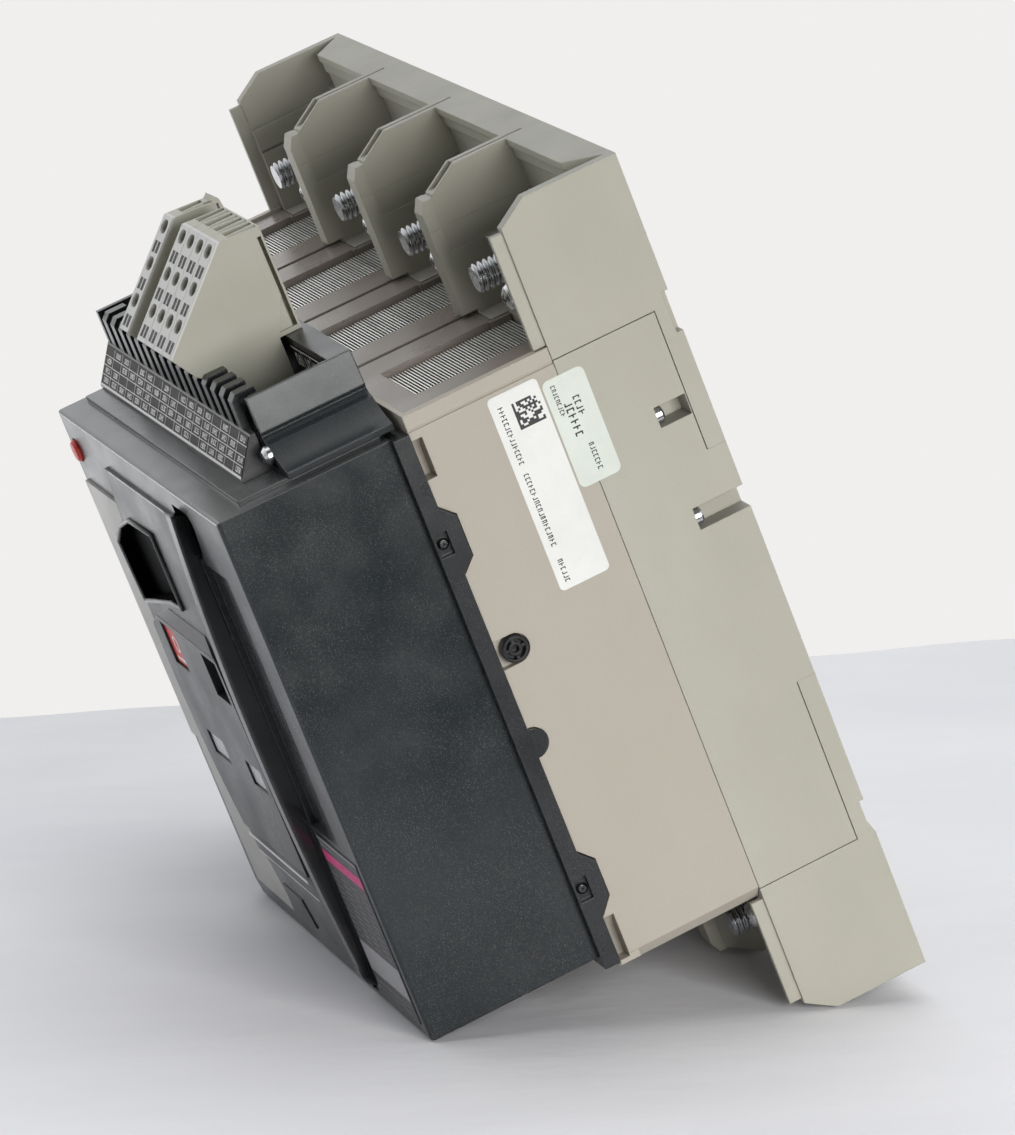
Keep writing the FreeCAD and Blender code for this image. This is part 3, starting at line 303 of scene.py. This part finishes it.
def paper(name, colour, roughness=0.5, fibre=900, specular=0.5):
    """A printed plastic film: nearly even, with a slight stain and a fine texture."""
    look = Look(name)
    stain = look.ramp(look.noise(60, 3), 0.3, 0.7)
    tone = look.mix(stain, scaled(colour, 0.95), scaled(colour, 1.03))
    weave = look.noise(fibre, 3)
    tone = look.mix(look.ramp(weave, 0.4, 0.7, 0.0, 0.1), tone, scaled(colour, 0.8))
    gloss = look.ramp(weave, 0.3, 0.7, roughness - 0.05, roughness + 0.1)
    return look.surface(tone, gloss, look.bump(weave, 0.00002, 0.4), specular=specular)


# The base's top tint is settled dust and painted shade that darkens its top band.
BASE = moulded("base_plastic", (0.45, 0.44, 0.365), 0.5, mottle=0.04, specular=0.25,
               second=(0.465, 0.45, 0.39), top_dust_and_lighting=0.5, top_dust_and_lighting_colour=(0.24, 0.235, 0.23))
CASE = moulded("case_plastic", (0.455, 0.412, 0.345), 0.47, mottle=0.03, specular=0.4,
               second=(0.45, 0.415, 0.355))
CHUTE = moulded("chute_plastic", (0.235, 0.205, 0.180), 0.3, mottle=0.12, rim_lightening=0.7)
# The cover's top tint is settled dust and painted light that lightens its upward faces.
COVER = moulded("cover_plastic", (0.011, 0.0155, 0.018), 0.23, grain=2600, depth=0.00003, speck=0.3,
                mottle=0.12, rim_lightening=0.3, second=(0.018, 0.0235, 0.026), top_dust_and_lighting=0.42)
PANEL = moulded("panel_plastic", (0.030, 0.032, 0.034), 0.30, mottle=0.08, rim_lightening=0.3)
DARK = moulded("dark_plastic", (0.008, 0.009, 0.010), 0.34, mottle=0.15, rim_lightening=0.3, speck=0.1)
# On the handle the strong, wide rim lightening is a painted highlight along its edges; this black also
# serves as painted shade beside the windows.
HANDLE_BLACK_AND_SHADE = moulded("handle_black_and_shade", (0.010, 0.011, 0.012), 0.17, mottle=0.1, rim_lightening=0.7, grain=2600,
                 depth=0.00001, specular=0.8, edge=0.0018)
# Near-black plastic with almost no gloss; lining the display opening it is also painted shade that
# keeps the opening dark.
CAVITY_BLACK_AND_SHADE = moulded("cavity_black_and_shade", (0.002, 0.0022, 0.0024), 0.5, mottle=0.1, rim_lightening=0.0, specular=0.02)
BAND = moulded("band_plastic", (0.004, 0.004, 0.0045), 0.16, mottle=0.3, rim_lightening=0.2, specular=0.16)
TRAY = moulded("tray_plastic", (0.014, 0.016, 0.018), 0.3, mottle=0.2, rim_lightening=0.8, speck=0.3)
BRACKET = moulded("bracket_plastic", (0.013, 0.018, 0.021), 0.26, mottle=0.15, rim_lightening=0.9, speck=0.2,
                  specular=0.35, edge=0.0008)
PALE = moulded("pale_plastic", (0.40, 0.395, 0.37), 0.38, mottle=0.03)
RED = moulded("red_plastic", (0.62, 0.03, 0.02), 0.3, mottle=0.05, rim_lightening=0.2)
ZINC = metal("zinc_plate", (0.66, 0.67, 0.68), 0.24, scale=260, edge=0.0003)
THREAD = metal("thread_steel", (0.42, 0.43, 0.44), 0.2, scale=160, rim_lightening=0.3, edge=0.0001)
STEEL = metal("rolled_steel", (0.55, 0.55, 0.55), 0.34, stretch=(0.08, 1, 1))
SILVER = metal("silver_plate", (0.66, 0.64, 0.60), 0.34, scale=200)
COPPER = metal("copper", (0.72, 0.36, 0.22), 0.32)
WIRE = metal("spring_wire", (0.28, 0.28, 0.29), 0.35)
WHITE_FILM = paper("white_film", (0.83, 0.84, 0.81))
GREEN_FILM = paper("green_film", (0.72, 0.77, 0.70))
BROWN_FILM = paper("brown_film", (0.016, 0.012, 0.012), 0.45, specular=0.15)
GREY_FILM = paper("grey_film", (0.055, 0.056, 0.06), 0.38)
# Black print, and also painted shade in the screw recesses and the module slots.
INK_AND_SHADE = paper("ink", (0.03, 0.03, 0.035), 0.5)
# White print, and also the colour of painted highlights on the panel, cover and tray rail edges.
WHITE_INK_AND_HIGHLIGHT = paper("white_ink_and_highlight", (0.78, 0.77, 0.76), 0.5)
MAGENTA = paper("magenta_ink", (0.62, 0.03, 0.2), 0.4)
PALE_INK = paper("pale_ink", (0.33, 0.33, 0.34), 0.45)


def module_look():
    """Pale moulded plastic whose sloping wiring face is whiter."""
    look = Look("module_plastic")
    out = look.node("ShaderNodeVectorMath", operation="DOT_PRODUCT")
    look.feed(out.inputs[0], look.place)
    slope = Vector((0, -1, 1)).normalized()
    out.inputs[1].default_value = slope
    face = Vector((0, -0.1407, 0.1269)).dot(slope)
    height = out.outputs["Value"]
    white = look.ramp(height, face - 0.0009, face - 0.0005)
    cloud = look.ramp(look.noise(40, 4), 0.3, 0.7)
    body = look.mix(cloud, (0.39, 0.385, 0.315), (0.43, 0.42, 0.35))
    tone = look.mix(white, body, (0.60, 0.60, 0.575))
    rim, rounded_normal = look.edges(0.0004)
    tone = look.mix(look.math("MULTIPLY", rim, 0.3), tone, (0.7, 0.7, 0.66))
    fine = look.noise(1700, 2)
    gloss = look.ramp(fine, 0.3, 0.7, 0.42, 0.52)
    return look.surface(tone, gloss, look.bump(fine, 0.00003, 0.6, rounded_normal))


def window_look():
    """Clear plastic over a pale flag, hazy with age."""
    look = Look("window_plastic")
    haze = look.noise(200, 3)
    tone = look.mix(haze, (0.46, 0.475, 0.475), (0.54, 0.555, 0.555))
    gloss = look.ramp(haze, 0.3, 0.7, 0.15, 0.25)
    return look.surface(tone, gloss, look.bump(haze, 0.00001, 0.3), alpha=0.9)


def plates_look():
    """Splitter plates: top cut edges lit as a painted highlight, each a little different, over flanks
    darkened as painted shade for the gaps between them.
    """
    look = Look("splitter_steel")
    # Painted highlight on the top edges and painted shade on the flanks, which stand for the narrow
    # dark gaps.
    top = look.ramp(look.axis("Z"), 0.0941, 0.0946)
    each = look.ramp(look.noise(1100, 0, stretch=(0.02, 1, 0)), 0.35, 0.65)
    painted_highlight = look.mix(each, (0.86, 0.85, 0.82), (0.98, 0.97, 0.94))
    tone = look.mix(top, (0.035, 0.033, 0.031), painted_highlight)
    drawn = look.noise(500, 3, stretch=(0.05, 1, 1))
    gloss = look.ramp(drawn, 0.3, 0.7, 0.3, 0.5)
    return look.surface(tone, gloss, look.bump(drawn, 0.00001, 0.4), metallic=0.6)


def small_screw_look():
    """Zinc on the tray's screw, and darkened steel on the screws of the ears further right."""
    look = Look("small_screw_steel")
    dark = look.ramp(look.axis("X"), 0.130, 0.132)
    tone = look.mix(dark, (0.66, 0.67, 0.68), (0.06, 0.06, 0.062))
    stain = look.noise(260, 3)
    tone = look.mix(look.ramp(stain, 0.35, 0.75, 0.0, 0.4), tone, (0.1, 0.1, 0.1))
    rim, rounded_normal = look.edges(0.0003)
    tone = look.mix(look.math("MULTIPLY", rim, 0.4), tone, (0.8, 0.8, 0.8))
    gloss = look.ramp(stain, 0.3, 0.7, 0.2, 0.34)
    return look.surface(tone, gloss, look.bump(stain, 0.00002, 0.5, rounded_normal), metallic=1.0)


def floor_look():
    """White cloth that is clear from below, so that it never hides the object."""
    look = Look("cloth")
    weave = look.noise(1400, 3)
    crease = look.noise(14, 5, stretch=(1, 0.4, 0.4))
    tone = look.mix(look.ramp(crease, 0.35, 0.65), (0.84, 0.84, 0.875), (0.88, 0.88, 0.91))
    normal = look.bump(look.math("ADD", look.math("MULTIPLY", weave, 0.02), crease), 0.006, 0.35)
    shader = look.node("ShaderNodeBsdfPrincipled")
    look.feed(shader.inputs["Base Color"], tone)
    look.feed(shader.inputs["Normal"], normal)
    shader.inputs["Roughness"].default_value = 0.9
    shader.inputs["Specular IOR Level"].default_value = 0.2
    clear = look.node("ShaderNodeBsdfTransparent")
    mix = look.node("ShaderNodeMixShader")
    look.feed(mix.inputs[0], look.node("ShaderNodeNewGeometry").outputs["Backfacing"])
    look.feed(mix.inputs[1], shader.outputs[0])
    look.feed(mix.inputs[2], clear.outputs[0])
    out = look.node("ShaderNodeOutputMaterial")
    look.feed(out.inputs["Surface"], mix.outputs[0])
    return look.material


def drum_look(name, upper, lower):
    """A flag drum in two colours, one above and one below a level on it."""
    look = Look(name)
    half = look.ramp(look.axis("Z"), -0.0295, -0.0293)
    tone = look.mix(half, lower, upper)
    cloud = look.noise(90, 3)
    tone = look.mix(look.ramp(cloud, 0.4, 0.7, 0.0, 0.15), tone, (0.3, 0.3, 0.3))
    return look.surface(tone, look.ramp(cloud, 0.3, 0.7, 0.35, 0.5), look.bump(cloud, 0.00003, 0.5))


# ---------------------------------------------------------------- materials on the CAD nodes

FINISHES = {
    "rear_base": BASE, "upper_terminal_shield": BASE, "lower_terminal_shield": BASE,
    "pole_case": CASE, "base_side_screws": ZINC, "key_boss": DARK, "terminal_studs": ZINC,
    "terminal_screws": ZINC, "current_transformers": DARK, "pole_shaft": DARK,
    "mounting_frame": TRAY, "cross_head_screws": small_screw_look(), "front_cover": COVER,
    "button_panel": PANEL, "control_unit_cover": PALE, "lower_unit_cover": PALE,
    "control_unit": CAVITY_BLACK_AND_SHADE, "indicator_windows": window_look(), "off_button": RED,
    "on_button": CAVITY_BLACK_AND_SHADE, "reset_button": RED,
    "position_flag": drum_look("position_drum", (0.62, 0.63, 0.62), (0.05, 0.3, 0.1)),
    "charge_flag": drum_look("charge_drum", (0.6, 0.61, 0.6), (0.7, 0.55, 0.05)),
    "padlock_tab": PANEL, "charging_handle": HANDLE_BLACK_AND_SHADE, "rating_label": GREY_FILM,
    "side_labels": WHITE_FILM, "mechanism_frame": STEEL, "charging_shaft": STEEL,
    "opening_latch": STEEL, "closing_latch": STEEL, "closing_spring": WIRE,
    "terminal_tray": TRAY, "tray_bracket": BRACKET, "tray_labels": BROWN_FILM,
}
# nodes that come in numbered sets, by the start of their names
SETS = {
    "terminal_module": module_look(), "splitter_plates": plates_look(), "arc_chute_frame": CHUTE,
    "moving_contact": COPPER, "upper_terminal_": SILVER, "lower_terminal_": SILVER,
}
for name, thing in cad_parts.items():
    finish = FINISHES.get(name)
    for start, shared in SETS.items():
        if not finish and name.startswith(start):
            finish = shared
    thing.data.materials.clear()
    thing.data.materials.append(finish)


# ---------------------------------------------------------------- pieces added to the CAD nodes

def piece(name, shape, material, body="housing", smooth=False):
    """A new mesh piece that rides on a body."""
    mesh = bpy.data.meshes.new(name)
    bmesh.ops.recalc_face_normals(shape, faces=shape.faces[:])
    shape.to_mesh(mesh)
    shape.free()
    if smooth:
        mesh.polygons.foreach_set("use_smooth", [True] * len(mesh.polygons))
    made = bpy.data.objects.new(name, mesh)
    bpy.context.scene.collection.objects.link(made)
    made.data.materials.append(material)
    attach(made, body)
    return made


def join_rings(shape, first, second, smooth=False):
    """The band of faces between two rings of points."""
    count = len(first)
    for step in range(count):
        after = (step + 1) % count
        face = shape.faces.new((first[step], first[after], second[after], second[step]))
        face.smooth = smooth


def slab(shape, outline, origin, right, up, thickness):
    """A thin plate on a plane: outline points are in millimetres along right and up."""
    out = right.cross(up).normalized() * thickness * MM
    back = [shape.verts.new(origin + (right * a + up * b) * MM) for a, b in outline]
    front = [shape.verts.new(vert.co + out) for vert in back]
    shape.faces.new(front)
    shape.faces.new(list(reversed(back)))
    join_rings(shape, back, front)


def rectangle(left, low, right, high):
    return [(left, low), (right, low), (right, high), (left, high)]


def rounded_rectangle(left, low, right, high, radius):
    """The outline of a rectangle whose corners are arcs."""
    points = []
    steps = 8
    corners = ((right - radius, low + radius, -90), (right - radius, high - radius, 0),
               (left + radius, high - radius, 90), (left + radius, low + radius, 180))
    for x, y, start in corners:
        for step in range(steps + 1):
            angle = math.radians(start + step * 90 / steps)
            points.append((x + radius * math.cos(angle), y + radius * math.sin(angle)))
    return points


def print_marks(shape, plane, left, low, width, height, seed, advance=0.62):
    """A row of small strokes that reads as print but spells nothing.

    Each glyph is one of five sets of strokes: left stem, top bar, right stem, foot, middle bar.
    """
    dice = random.Random(seed)
    pen = height * 0.18
    top = low + height
    x = left
    while x < left + width - height * 0.5:
        glyph = height * dice.uniform(0.42, 0.6)
        kind = dice.randrange(5)
        if kind != 1:
            slab(shape, rectangle(x, low, x + pen, top), *plane)
        if kind in (0, 2, 3):
            slab(shape, rectangle(x, top - pen, x + glyph, top), *plane)
        if kind in (1, 2):
            slab(shape, rectangle(x + glyph - pen, low, x + glyph, top), *plane)
        if kind in (0, 1, 3):
            slab(shape, rectangle(x, low, x + glyph, low + pen), *plane)
        if kind == 4:
            middle = low + height * 0.45
            slab(shape, rectangle(x, middle, x + glyph, middle + pen), *plane)
        x += height * advance + glyph * 0.35


def front_plane(depth):
    """Origin, right, up and print thickness of a plane that faces forwards, depth mm from the rear."""
    return Vector((0, -depth * MM, 0)), X_AXIS, Z_AXIS, 0.05


def threaded_studs():
    """The eight terminal studs: a rolled thread, a chamfered tip and a hexagon head behind the bar."""
    shape = bmesh.new()
    turn, pitch, crest, root, level_per_pitch = 40, 1.9, 5.0, 4.15, 8
    start, tip, head_front, head_rear = -35.2, -47.5, -26, -21.2
    levels = int((start - tip) / pitch * level_per_pitch)
    # radius, front, rear, number of sides and turn of the shank and of the hexagon head
    lengths = ((crest, start, head_front, turn, 0), (8.6, head_front, head_rear, 6, 0.3))

    def rim(x, y, z, radii, offset=0.0):
        """A ring of points round a stud's axis, one for each radius."""
        count = len(radii)
        ring = []
        for step, radius in enumerate(radii):
            angle = offset + 2 * math.pi * step / count
            place = Vector((x + radius * math.cos(angle), y, z + radius * math.sin(angle)))
            ring.append(shape.verts.new(place * MM))
        return ring

    for x in POLE_CENTRES:
        for z in (117, -117):
            rings = []
            for level in range(levels + 1):
                y = start + (tip - start) * level / levels
                radii = []
                for step in range(turn):
                    phase = ((y - start) / pitch - step / turn) % 1.0
                    wave = abs(2 * phase - 1)
                    radius = root + (crest - root) * min(1, max(0, 1.6 * wave - 0.3))
                    radii.append(min(radius, root + 0.9 * (y - tip) + 0.1))
                rings.append(rim(x, y, z, radii))
            for first, second in zip(rings, rings[1:]):
                join_rings(shape, first, second, smooth=True)
            shape.faces.new(rings[-1])
            for radius, low, high, sides, offset in lengths:
                ends = [rim(x, y, z, [radius] * sides, offset) for y in (low, high)]
                join_rings(shape, *ends)
                shape.faces.new(ends[0])
                shape.faces.new(ends[1])
    studs = piece("threaded_studs", shape, THREAD)
    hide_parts("terminal_studs")


def cross_recesses():
    """Painted shade: dark crosses standing for the recesses in the heads of the terminal screws, the
    ears' screws and the tray's.
    """
    shape = bmesh.new()

    def cross(place, right, long, short, thickness):
        for width, tall in ((long, short), (short, long)):
            slab(shape, rectangle(-width / 2, -tall / 2, width / 2, tall / 2), Vector(place) * MM,
                 right, Z_AXIS, thickness)

    screw_offset = 15
    for x in POLE_CENTRES:
        for z in (111.5, -111.5):
            cross((x + screw_offset, -44.8, z), X_AXIS, 3.2, 0.8, 0.03)
    for z in (55, -68.5):
        cross((139.8, -96, z), Y_AXIS, 2.2, 0.6, 0.06)
    cross((121.5, -135, 99.8), X_AXIS, 3.4, 0.8, 0.06)
    piece("cross_recesses", shape, INK_AND_SHADE)


def side_stickers():
    """Two stickers with rounded corners on the right side, with print that spells nothing."""
    side = Vector((SIDE_FACE * MM, 0, 0))
    film, ink = 0.13, 0.04
    white = bmesh.new()
    slab(white, rounded_rectangle(-67, 24, -49.6, 91, 1.6), side, Y_AXIS, Z_AXIS, film)
    sticker = piece("white_sticker", white, WHITE_FILM)
    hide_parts("side_labels")
    green = bmesh.new()
    slab(green, rounded_rectangle(-48.9, 51.5, -34.4, 88.3, 2.2), side, Y_AXIS, Z_AXIS, film)
    piece("green_sticker", green, GREEN_FILM)
    marks = bmesh.new()
    top = Vector(((SIDE_FACE + film) * MM, 0, 0))
    # start along -Z, level along Y, width, height and seed of each row
    rows = ((-87, -64.6, 20, 1.7, 3), (-64, -64.6, 26, 1.7, 4), (-34, -64.6, 8, 1.7, 5),
            (-86, -46.5, 11, 1.5, 6), (-79, -44.4, 12, 2.6, 7), (-80, -41, 7, 2.2, 8),
            (-64, -41.6, 10, 1.7, 9))
    for start, level, width, height, seed in rows:
        print_marks(marks, (top, -Z_AXIS, Y_AXIS, ink), start, level, width, height, seed)
    dice = random.Random(12)
    cell, count, left, low = 0.75, 12, -60, 77.5
    for row in range(count):
        for column in range(count):
            if row == 0 or column == 0 or dice.random() < 0.5:
                y, z = left + row * cell, low + column * cell
                slab(marks, rectangle(y, z, y + cell, z + cell), top, Y_AXIS, Z_AXIS, ink)
    piece("sticker_print", marks, INK_AND_SHADE)


def tray_print():
    """Column and row lines on the sloping rail and on the wall behind it, marks in the cells, and a
    painted highlight along the rail's lower edge.
    """
    shape = bmesh.new()
    low_edge, high_edge = Vector((0, -142.24, 95.08)), Vector((0, -135.22, 106.02))
    foot, up = low_edge * MM, (high_edge - low_edge).normalized()
    rail = (foot, X_AXIS, up, 0.03)
    left, right, tall = -45, 115.5, 13.0
    columns, rows, row_height = 17, 4, 3.2
    width = (right - left) / columns
    for row in range(rows):
        level = row * row_height
        slab(shape, rectangle(left, level + 0.05, right, level + 0.3), *rail)
    # Painted highlight: a white strip along the rail's lower edge.
    slab(shape, rectangle(left, -0.5, right, 0.1), foot, X_AXIS, up, 0.05)
    for column in range(1, columns):
        x = left + column * width
        slab(shape, rectangle(x - 0.13, 0.3, x + 0.13, tall), *rail)
    dice = random.Random(5)
    for column in range(columns):
        for row in range(rows):
            if dice.random() < 0.14:
                continue
            x = left + column * width + 2.0 + dice.uniform(0, 0.8)
            print_marks(shape, rail, x, 0.95 + row_height * row, 5.4, 1.75,
                        columns * row + column, 0.3)
    piece("rail_print_and_highlight", shape, WHITE_INK_AND_HIGHLIGHT)
    wall = bmesh.new()
    plane = (Vector((0, -103.75, 0)) * MM, X_AXIS, Z_AXIS, 0.04)
    for column in range(4):
        x = 77 + MODULE_PITCH * column
        print_marks(wall, plane, x + 1.2, 108.9, 7.2, 4.2, 90 + column, 0.3)
        slab(wall, rectangle(x + 8.9, 106.4, x + 9.15, 115.2), *plane)
    slab(wall, rectangle(76.4, 114.6, 115.2, 115.0), *plane)
    piece("wall_print", wall, WHITE_INK_AND_HIGHLIGHT)


def front_print():
    """The rating plate's bars and marks, and the two button symbols."""
    plate = front_plane(159.3)
    left, right, text_left = 92, 131.6, 93.2
    plain = bmesh.new()
    slab(plain, rectangle(left, -80, right, -68.6), *plate)
    slab(plain, rectangle(91.6, -31.2, 132.2, -30.6), *plate)
    for row in range(11):
        for column in range(4):
            print_marks(plain, plate, text_left + 9.6 * column, -44 - 2.25 * row, 6.5, 1.0,
                        40 * row + column)
    for row in range(2):
        print_marks(plain, plate, text_left, -84 - 2.2 * row, 34, 1.0, 300 + row)
    print_marks(plain, plate, text_left, -33.6, 14, 1.4, 500)
    piece("plate_print", plain, PALE_INK)
    stripe = bmesh.new()
    slab(stripe, rectangle(left, -39.4, right, -35.2), *plate)
    piece("plate_stripe", stripe, MAGENTA)
    ring = bmesh.new()
    off_key = front_plane(160.2)
    middle_x, middle_z, inner, outer, steps = -4.4, 14.8, 2.2, 3.2, 24
    for step in range(steps):
        a, b = 2 * math.pi * step / steps, 2 * math.pi * (step + 1) / steps
        points = [(middle_x + radius * math.cos(angle), middle_z + radius * math.sin(angle))
                  for radius, angle in ((inner, a), (outer, a), (outer, b), (inner, b))]
        slab(ring, points, *off_key)
    slab(ring, rectangle(-9.6, 8.2, 0.6, 9.6), *off_key)
    piece("off_symbol", ring, WHITE_INK_AND_HIGHLIGHT, body="off_key")
    bar = bmesh.new()
    slab(bar, rectangle(42.6, 11, 43.8, 17.4), *front_plane(156.8))
    piece("on_symbol", bar, WHITE_INK_AND_HIGHLIGHT, body="on_key")


# the display opening's corners, clockwise from the lower left
DISPLAY = [(-23.4, 27), (-26.8, 48.8), (-14, 57), (4, 63.4), (33, 64.4), (33.4, 37.6), (20, 36.6),
           (2, 32.6)]


def display_surround():
    """A near-black liner in the display opening, painted shade over a black bezel, with a rounded lip
    in front of it.
    """
    middle_x = sum(x for x, _ in DISPLAY) / len(DISPLAY)
    middle_z = sum(z for _, z in DISPLAY) / len(DISPLAY)
    shape = bmesh.new()
    rows = []
    front, rear, wall = 160.6, 151.0, 0.9
    for depth, inset in ((front, 0.0), (front, wall), (rear, wall), (rear, 0.0)):
        row = []
        for x, z in DISPLAY:
            reach = math.hypot(x - middle_x, z - middle_z)
            share = 1 - (inset + 0.05) / reach
            row.append(shape.verts.new(Vector((middle_x + (x - middle_x) * share, -depth,
                                               middle_z + (z - middle_z) * share)) * MM))
        rows.append(row)
    for first, second in zip(rows, rows[1:] + rows[:1]):
        join_rings(shape, first, second)
    piece("display_liner", shape, CAVITY_BLACK_AND_SHADE)
    lip = bmesh.new()
    rings = []
    steps = 8
    for i, (x, z) in enumerate(DISPLAY):
        before, after = DISPLAY[i - 1], DISPLAY[(i + 1) % len(DISPLAY)]
        first = Vector((x - before[0], 0, z - before[1])).normalized()
        second = Vector((after[0] - x, 0, after[1] - z)).normalized()
        along = (first + second).normalized()
        side = Vector((along.z, 0, -along.x))
        stretch = 1 / max(0.5, side.dot(Vector((second.z, 0, -second.x))))
        ring = []
        for step in range(steps):
            angle = 2 * math.pi * step / steps
            offset = side * (0.8 * math.cos(angle) * stretch) + Vector((0, -0.7 * math.sin(angle), 0))
            ring.append(lip.verts.new((Vector((x, -160.5, z)) + offset) * MM))
        rings.append(ring)
    for first, second in zip(rings, rings[1:] + rings[:1]):
        join_rings(lip, first, second)
    piece("display_lip", lip, HANDLE_BLACK_AND_SHADE, smooth=True)


def panel_details():
    """Painted highlights along edges of the panel and the cover, the dark slope over the buttons, and
    painted shade along the windows' left and bottom edges.
    """
    # Painted highlights: pale strips along the panel's ledges and top edge.
    painted_highlight = bmesh.new()
    slab(painted_highlight, [(-12, -59.6), (53.5, -59.6), (53, -58.4), (-12.8, -58.4)], *front_plane(160.9))
    slab(painted_highlight, rectangle(2, 80.4, 68, 81.0), *front_plane(PANEL_FACE))
    slab(painted_highlight, [(-12, -65.9), (56, -65.9), (55.5, -65.5), (-11.4, -65.5)],
         *front_plane(PANEL_FACE))
    piece("panel_highlights", painted_highlight, WHITE_INK_AND_HIGHLIGHT)
    band = bmesh.new()
    slope = Vector((0, 0.95, 7.8)).normalized()
    foot = Vector((0, -BUTTON_ZONE_FACE, 24.4)) * MM
    slab(band, [(-12.6, 0.3), (8, 0.3), (53, 0.3), (50.2, 7.4), (8, 7.0), (-12, 0.7)],
         foot, X_AXIS, slope, 0.12)
    slab(band, [(-23.2, 19), (-13.2, 22.4), (53.9, 23.4), (53.7, 24.3), (-13.1, 24.3)],
         *front_plane(BUTTON_ZONE_FACE)[:3], 0.1)
    piece("panel_band", band, BAND)
    # Painted highlight: a pale strip along the cover's rounded top front edge.
    edge = bmesh.new()
    rounding = Vector((0, 1.18, 1)).normalized()
    slab(edge, rectangle(-46.5, 0, 135.5, 0.8), Vector((0, -COVER_FACE - 0.05, 91.1)) * MM, X_AXIS,
         rounding, 0.08)
    piece("cover_edge_highlight", edge, WHITE_INK_AND_HIGHLIGHT)
    # Painted shade: black strips along the left and bottom edges of the two windows.
    window_shades = bmesh.new()
    window_shade_plane, line = front_plane(160.4), 0.9
    for left, right in ((-9.5, 9.2), (34.4, 51)):
        slab(window_shades, rectangle(left, -27, left + line, -18), *window_shade_plane)
        slab(window_shades, rectangle(left + line, -27, right, -26.2), *window_shade_plane)
    piece("window_edge_shades", window_shades, HANDLE_BLACK_AND_SHADE)


def module_slot_shades():
    """Painted shade: dark sheets in the slots of the terminal modules and in the screws' slots, and
    slotted screws in the round wells.
    """
    slot_shades = bmesh.new()
    screws = bmesh.new()
    foot = Vector((0, -140.7, 126.9)) * MM
    up = Vector((0, 1, 1)).normalized()
    inwards = Vector((0, 1, -1)).normalized() * MM
    for left in MODULE_LEFTS:
        middle = left + 4.7
        for level in (35.8, 23.1, 10.4):
            for across in (1.7, 5.1):
                # Painted shade in the wire openings.
                opening_shade = rectangle(left + across, level - 8.9, left + across + 2.55, level - 5.1)
                slab(slot_shades, opening_shade, foot + inwards * 0.35, X_AXIS, up, 0.2)
            ring = []
            for step in range(24):
                angle = math.radians(15 * step)
                ring.append((middle + 2.9 * math.cos(angle), level + 2.3 * math.sin(angle)))
            slab(screws, ring, foot + inwards * 1.7, X_AXIS, up, 0.2)
            # Painted shade in each screw's slot.
            slot = [(left + 2.6, level - 0.9), (left + 3.2, level - 1.4), (left + 6.8, level + 0.9),
                    (left + 6.2, level + 1.4)]
            slab(slot_shades, slot, foot + inwards * 1.5, X_AXIS, up, 0.1)
    piece("module_slot_shades", slot_shades, INK_AND_SHADE)
    piece("module_screws", screws, SILVER)


threaded_studs()
cross_recesses()
side_stickers()
tray_print()
front_print()
display_surround()
panel_details()
module_slot_shades()

make_camera()
make_floor().data.materials.append(floor_look())
make_world()
bpy.context.scene.view_settings.view_transform = "Standard"
centre = Vector((0.03, -0.09, 0.0))
make_light("key", centre + X_AXIS * 1.5 + UP * 0.33 + ALONG * 0.15, centre, size=0.8, power=18,
           colour=(1.0, 0.992, 0.98))
make_light("fill", centre - X_AXIS * 0.3 + UP * 3.0, centre, size=2.4, power=16,
           colour=(0.97, 0.985, 1.0), shine=0.25)
